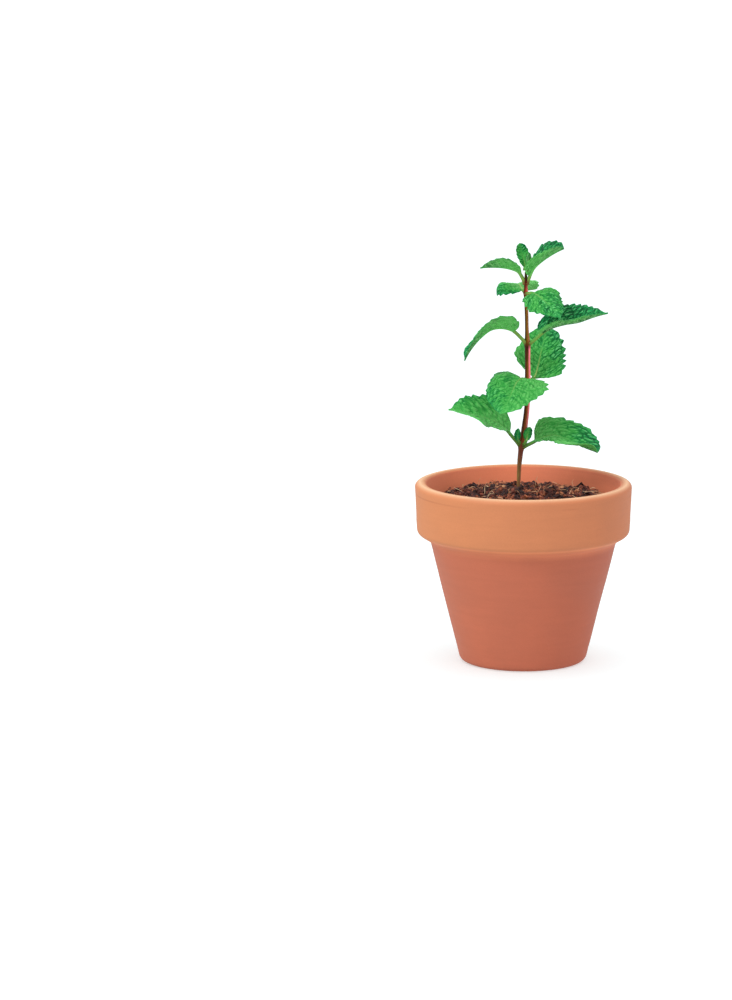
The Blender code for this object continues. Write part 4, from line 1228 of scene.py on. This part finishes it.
class MINT_OT_stage(bpy.types.Operator):
    """Set up the white floor, the soft boxes and the camera"""
    bl_idname = "mint.set_stage"
    bl_label = "Set the stage"

    def execute(self, context):
        stage = context.scene.mint_stage
        deselect_all()
        bpy.ops.mesh.primitive_circle_add(vertices=96, radius=FLOOR_RADIUS, fill_type="NGON")
        floor = bpy.context.object
        floor.name = "floor"
        material, _ = new_material(
            "lit_table", Roughness=0.9, Specular_IOR_Level=0.0, Base_Color=(0.70, 0.80, 0.82, 1.0),
            Emission_Color=WHITE, Emission_Strength=0.42)
        floor.data.materials.append(material)

        world = bpy.data.worlds.new("white_studio")
        world.use_nodes = True
        background = world.node_tree.nodes["Background"]
        background.inputs["Color"].default_value = WHITE
        background.inputs["Strength"].default_value = stage.surround
        context.scene.world = world
        # The soft boxes leave the floor alone, which only the white studio lights
        unlit = bpy.data.collections.new("not_lit_by_boxes")
        unlit.objects.link(floor)
        unlit.collection_objects[0].light_linking.link_state = "EXCLUDE"
        for name, (place, size) in SOFT_BOXES.items():
            box = self.soft_box(name + "_box", getattr(stage, name), place, size)
            box.light_linking.receiver_collection = unlit
        self.place_camera(context, stage)
        context.scene.view_settings.view_transform = "Standard"
        return {"FINISHED"}

    def soft_box(self, name, watts, place, size):
        """A square soft box that faces the middle of the plant."""
        light = bpy.data.lights.new(name, "AREA")
        light.shape = "SQUARE"
        light.size = size
        light.energy = watts
        box = bpy.data.objects.new(name, light)
        box.location = place
        aim = PLANT_MIDDLE - box.location
        box.rotation_euler = aim.to_track_quat("-Z", "Y").to_euler()
        bpy.context.scene.collection.objects.link(box)
        return box

    def place_camera(self, context, stage):
        """The camera stands in front of the pot, looks down, and aims to the left of it."""
        ahead = Vector((math.sin(CAMERA_YAW) * math.cos(CAMERA_PITCH),
                        math.cos(CAMERA_YAW) * math.cos(CAMERA_PITCH), -math.sin(CAMERA_PITCH)))
        right = Vector((math.cos(CAMERA_YAW), -math.sin(CAMERA_YAW), 0.0))
        up = right.cross(ahead)
        right, up = (math.cos(CAMERA_ROLL) * right + math.sin(CAMERA_ROLL) * up,
                     -math.sin(CAMERA_ROLL) * right + math.cos(CAMERA_ROLL) * up)
        camera_data = bpy.data.cameras.new("camera")
        camera_data.sensor_width = SENSOR_SIZE
        camera_data.lens = FOCAL_PIXELS / PICTURE_PIXELS * SENSOR_SIZE
        camera_data.clip_start = 0.05
        camera_data.clip_end = 40.0
        camera = bpy.data.objects.new("camera", camera_data)
        turn = Matrix((right, up, -ahead)).transposed().to_4x4()
        place = Matrix.Translation((0.0, -stage.camera_distance, stage.camera_height))
        camera.matrix_world = place @ turn
        context.scene.collection.objects.link(camera)
        context.scene.camera = camera


class VIEW3D_PT_potted_mint(bpy.types.Panel):
    """The steps of the potted mint, in order"""
    bl_label = "Potted mint"
    bl_space_type = "VIEW_3D"
    bl_region_type = "UI"
    bl_category = "Potted mint"

    def draw(self, context):
        for settings, group, operator in STEPS:
            box = self.layout.box()
            for name in group.__annotations__:
                box.prop(getattr(context.scene, settings), name)
            box.operator(operator.bl_idname)


STEPS = (
    ("mint_clay", ClaySettings, MINT_OT_pot),
    ("mint_mix", MixSettings, MINT_OT_mix),
    ("mint_stem", StemSettings, MINT_OT_stem),
    ("mint_leaf", LeafSettings, MINT_OT_leaves),
    ("mint_stage", StageSettings, MINT_OT_stage),
)


def register():
    for settings, group, operator in STEPS:
        bpy.utils.register_class(group)
        bpy.utils.register_class(operator)
        setattr(bpy.types.Scene, settings, PointerProperty(type=group))
    bpy.utils.register_class(VIEW3D_PT_potted_mint)


def unregister():
    bpy.utils.unregister_class(VIEW3D_PT_potted_mint)
    for settings, group, operator in reversed(STEPS):
        delattr(bpy.types.Scene, settings)
        bpy.utils.unregister_class(operator)
        bpy.utils.unregister_class(group)


def main():
    register()
    bpy.ops.mint.turn_pot()
    bpy.ops.mint.fill_mix()
    bpy.ops.mint.grow_stem()
    bpy.ops.mint.grow_leaves()
    bpy.ops.mint.set_stage()


if __name__ == "__main__":
    main()
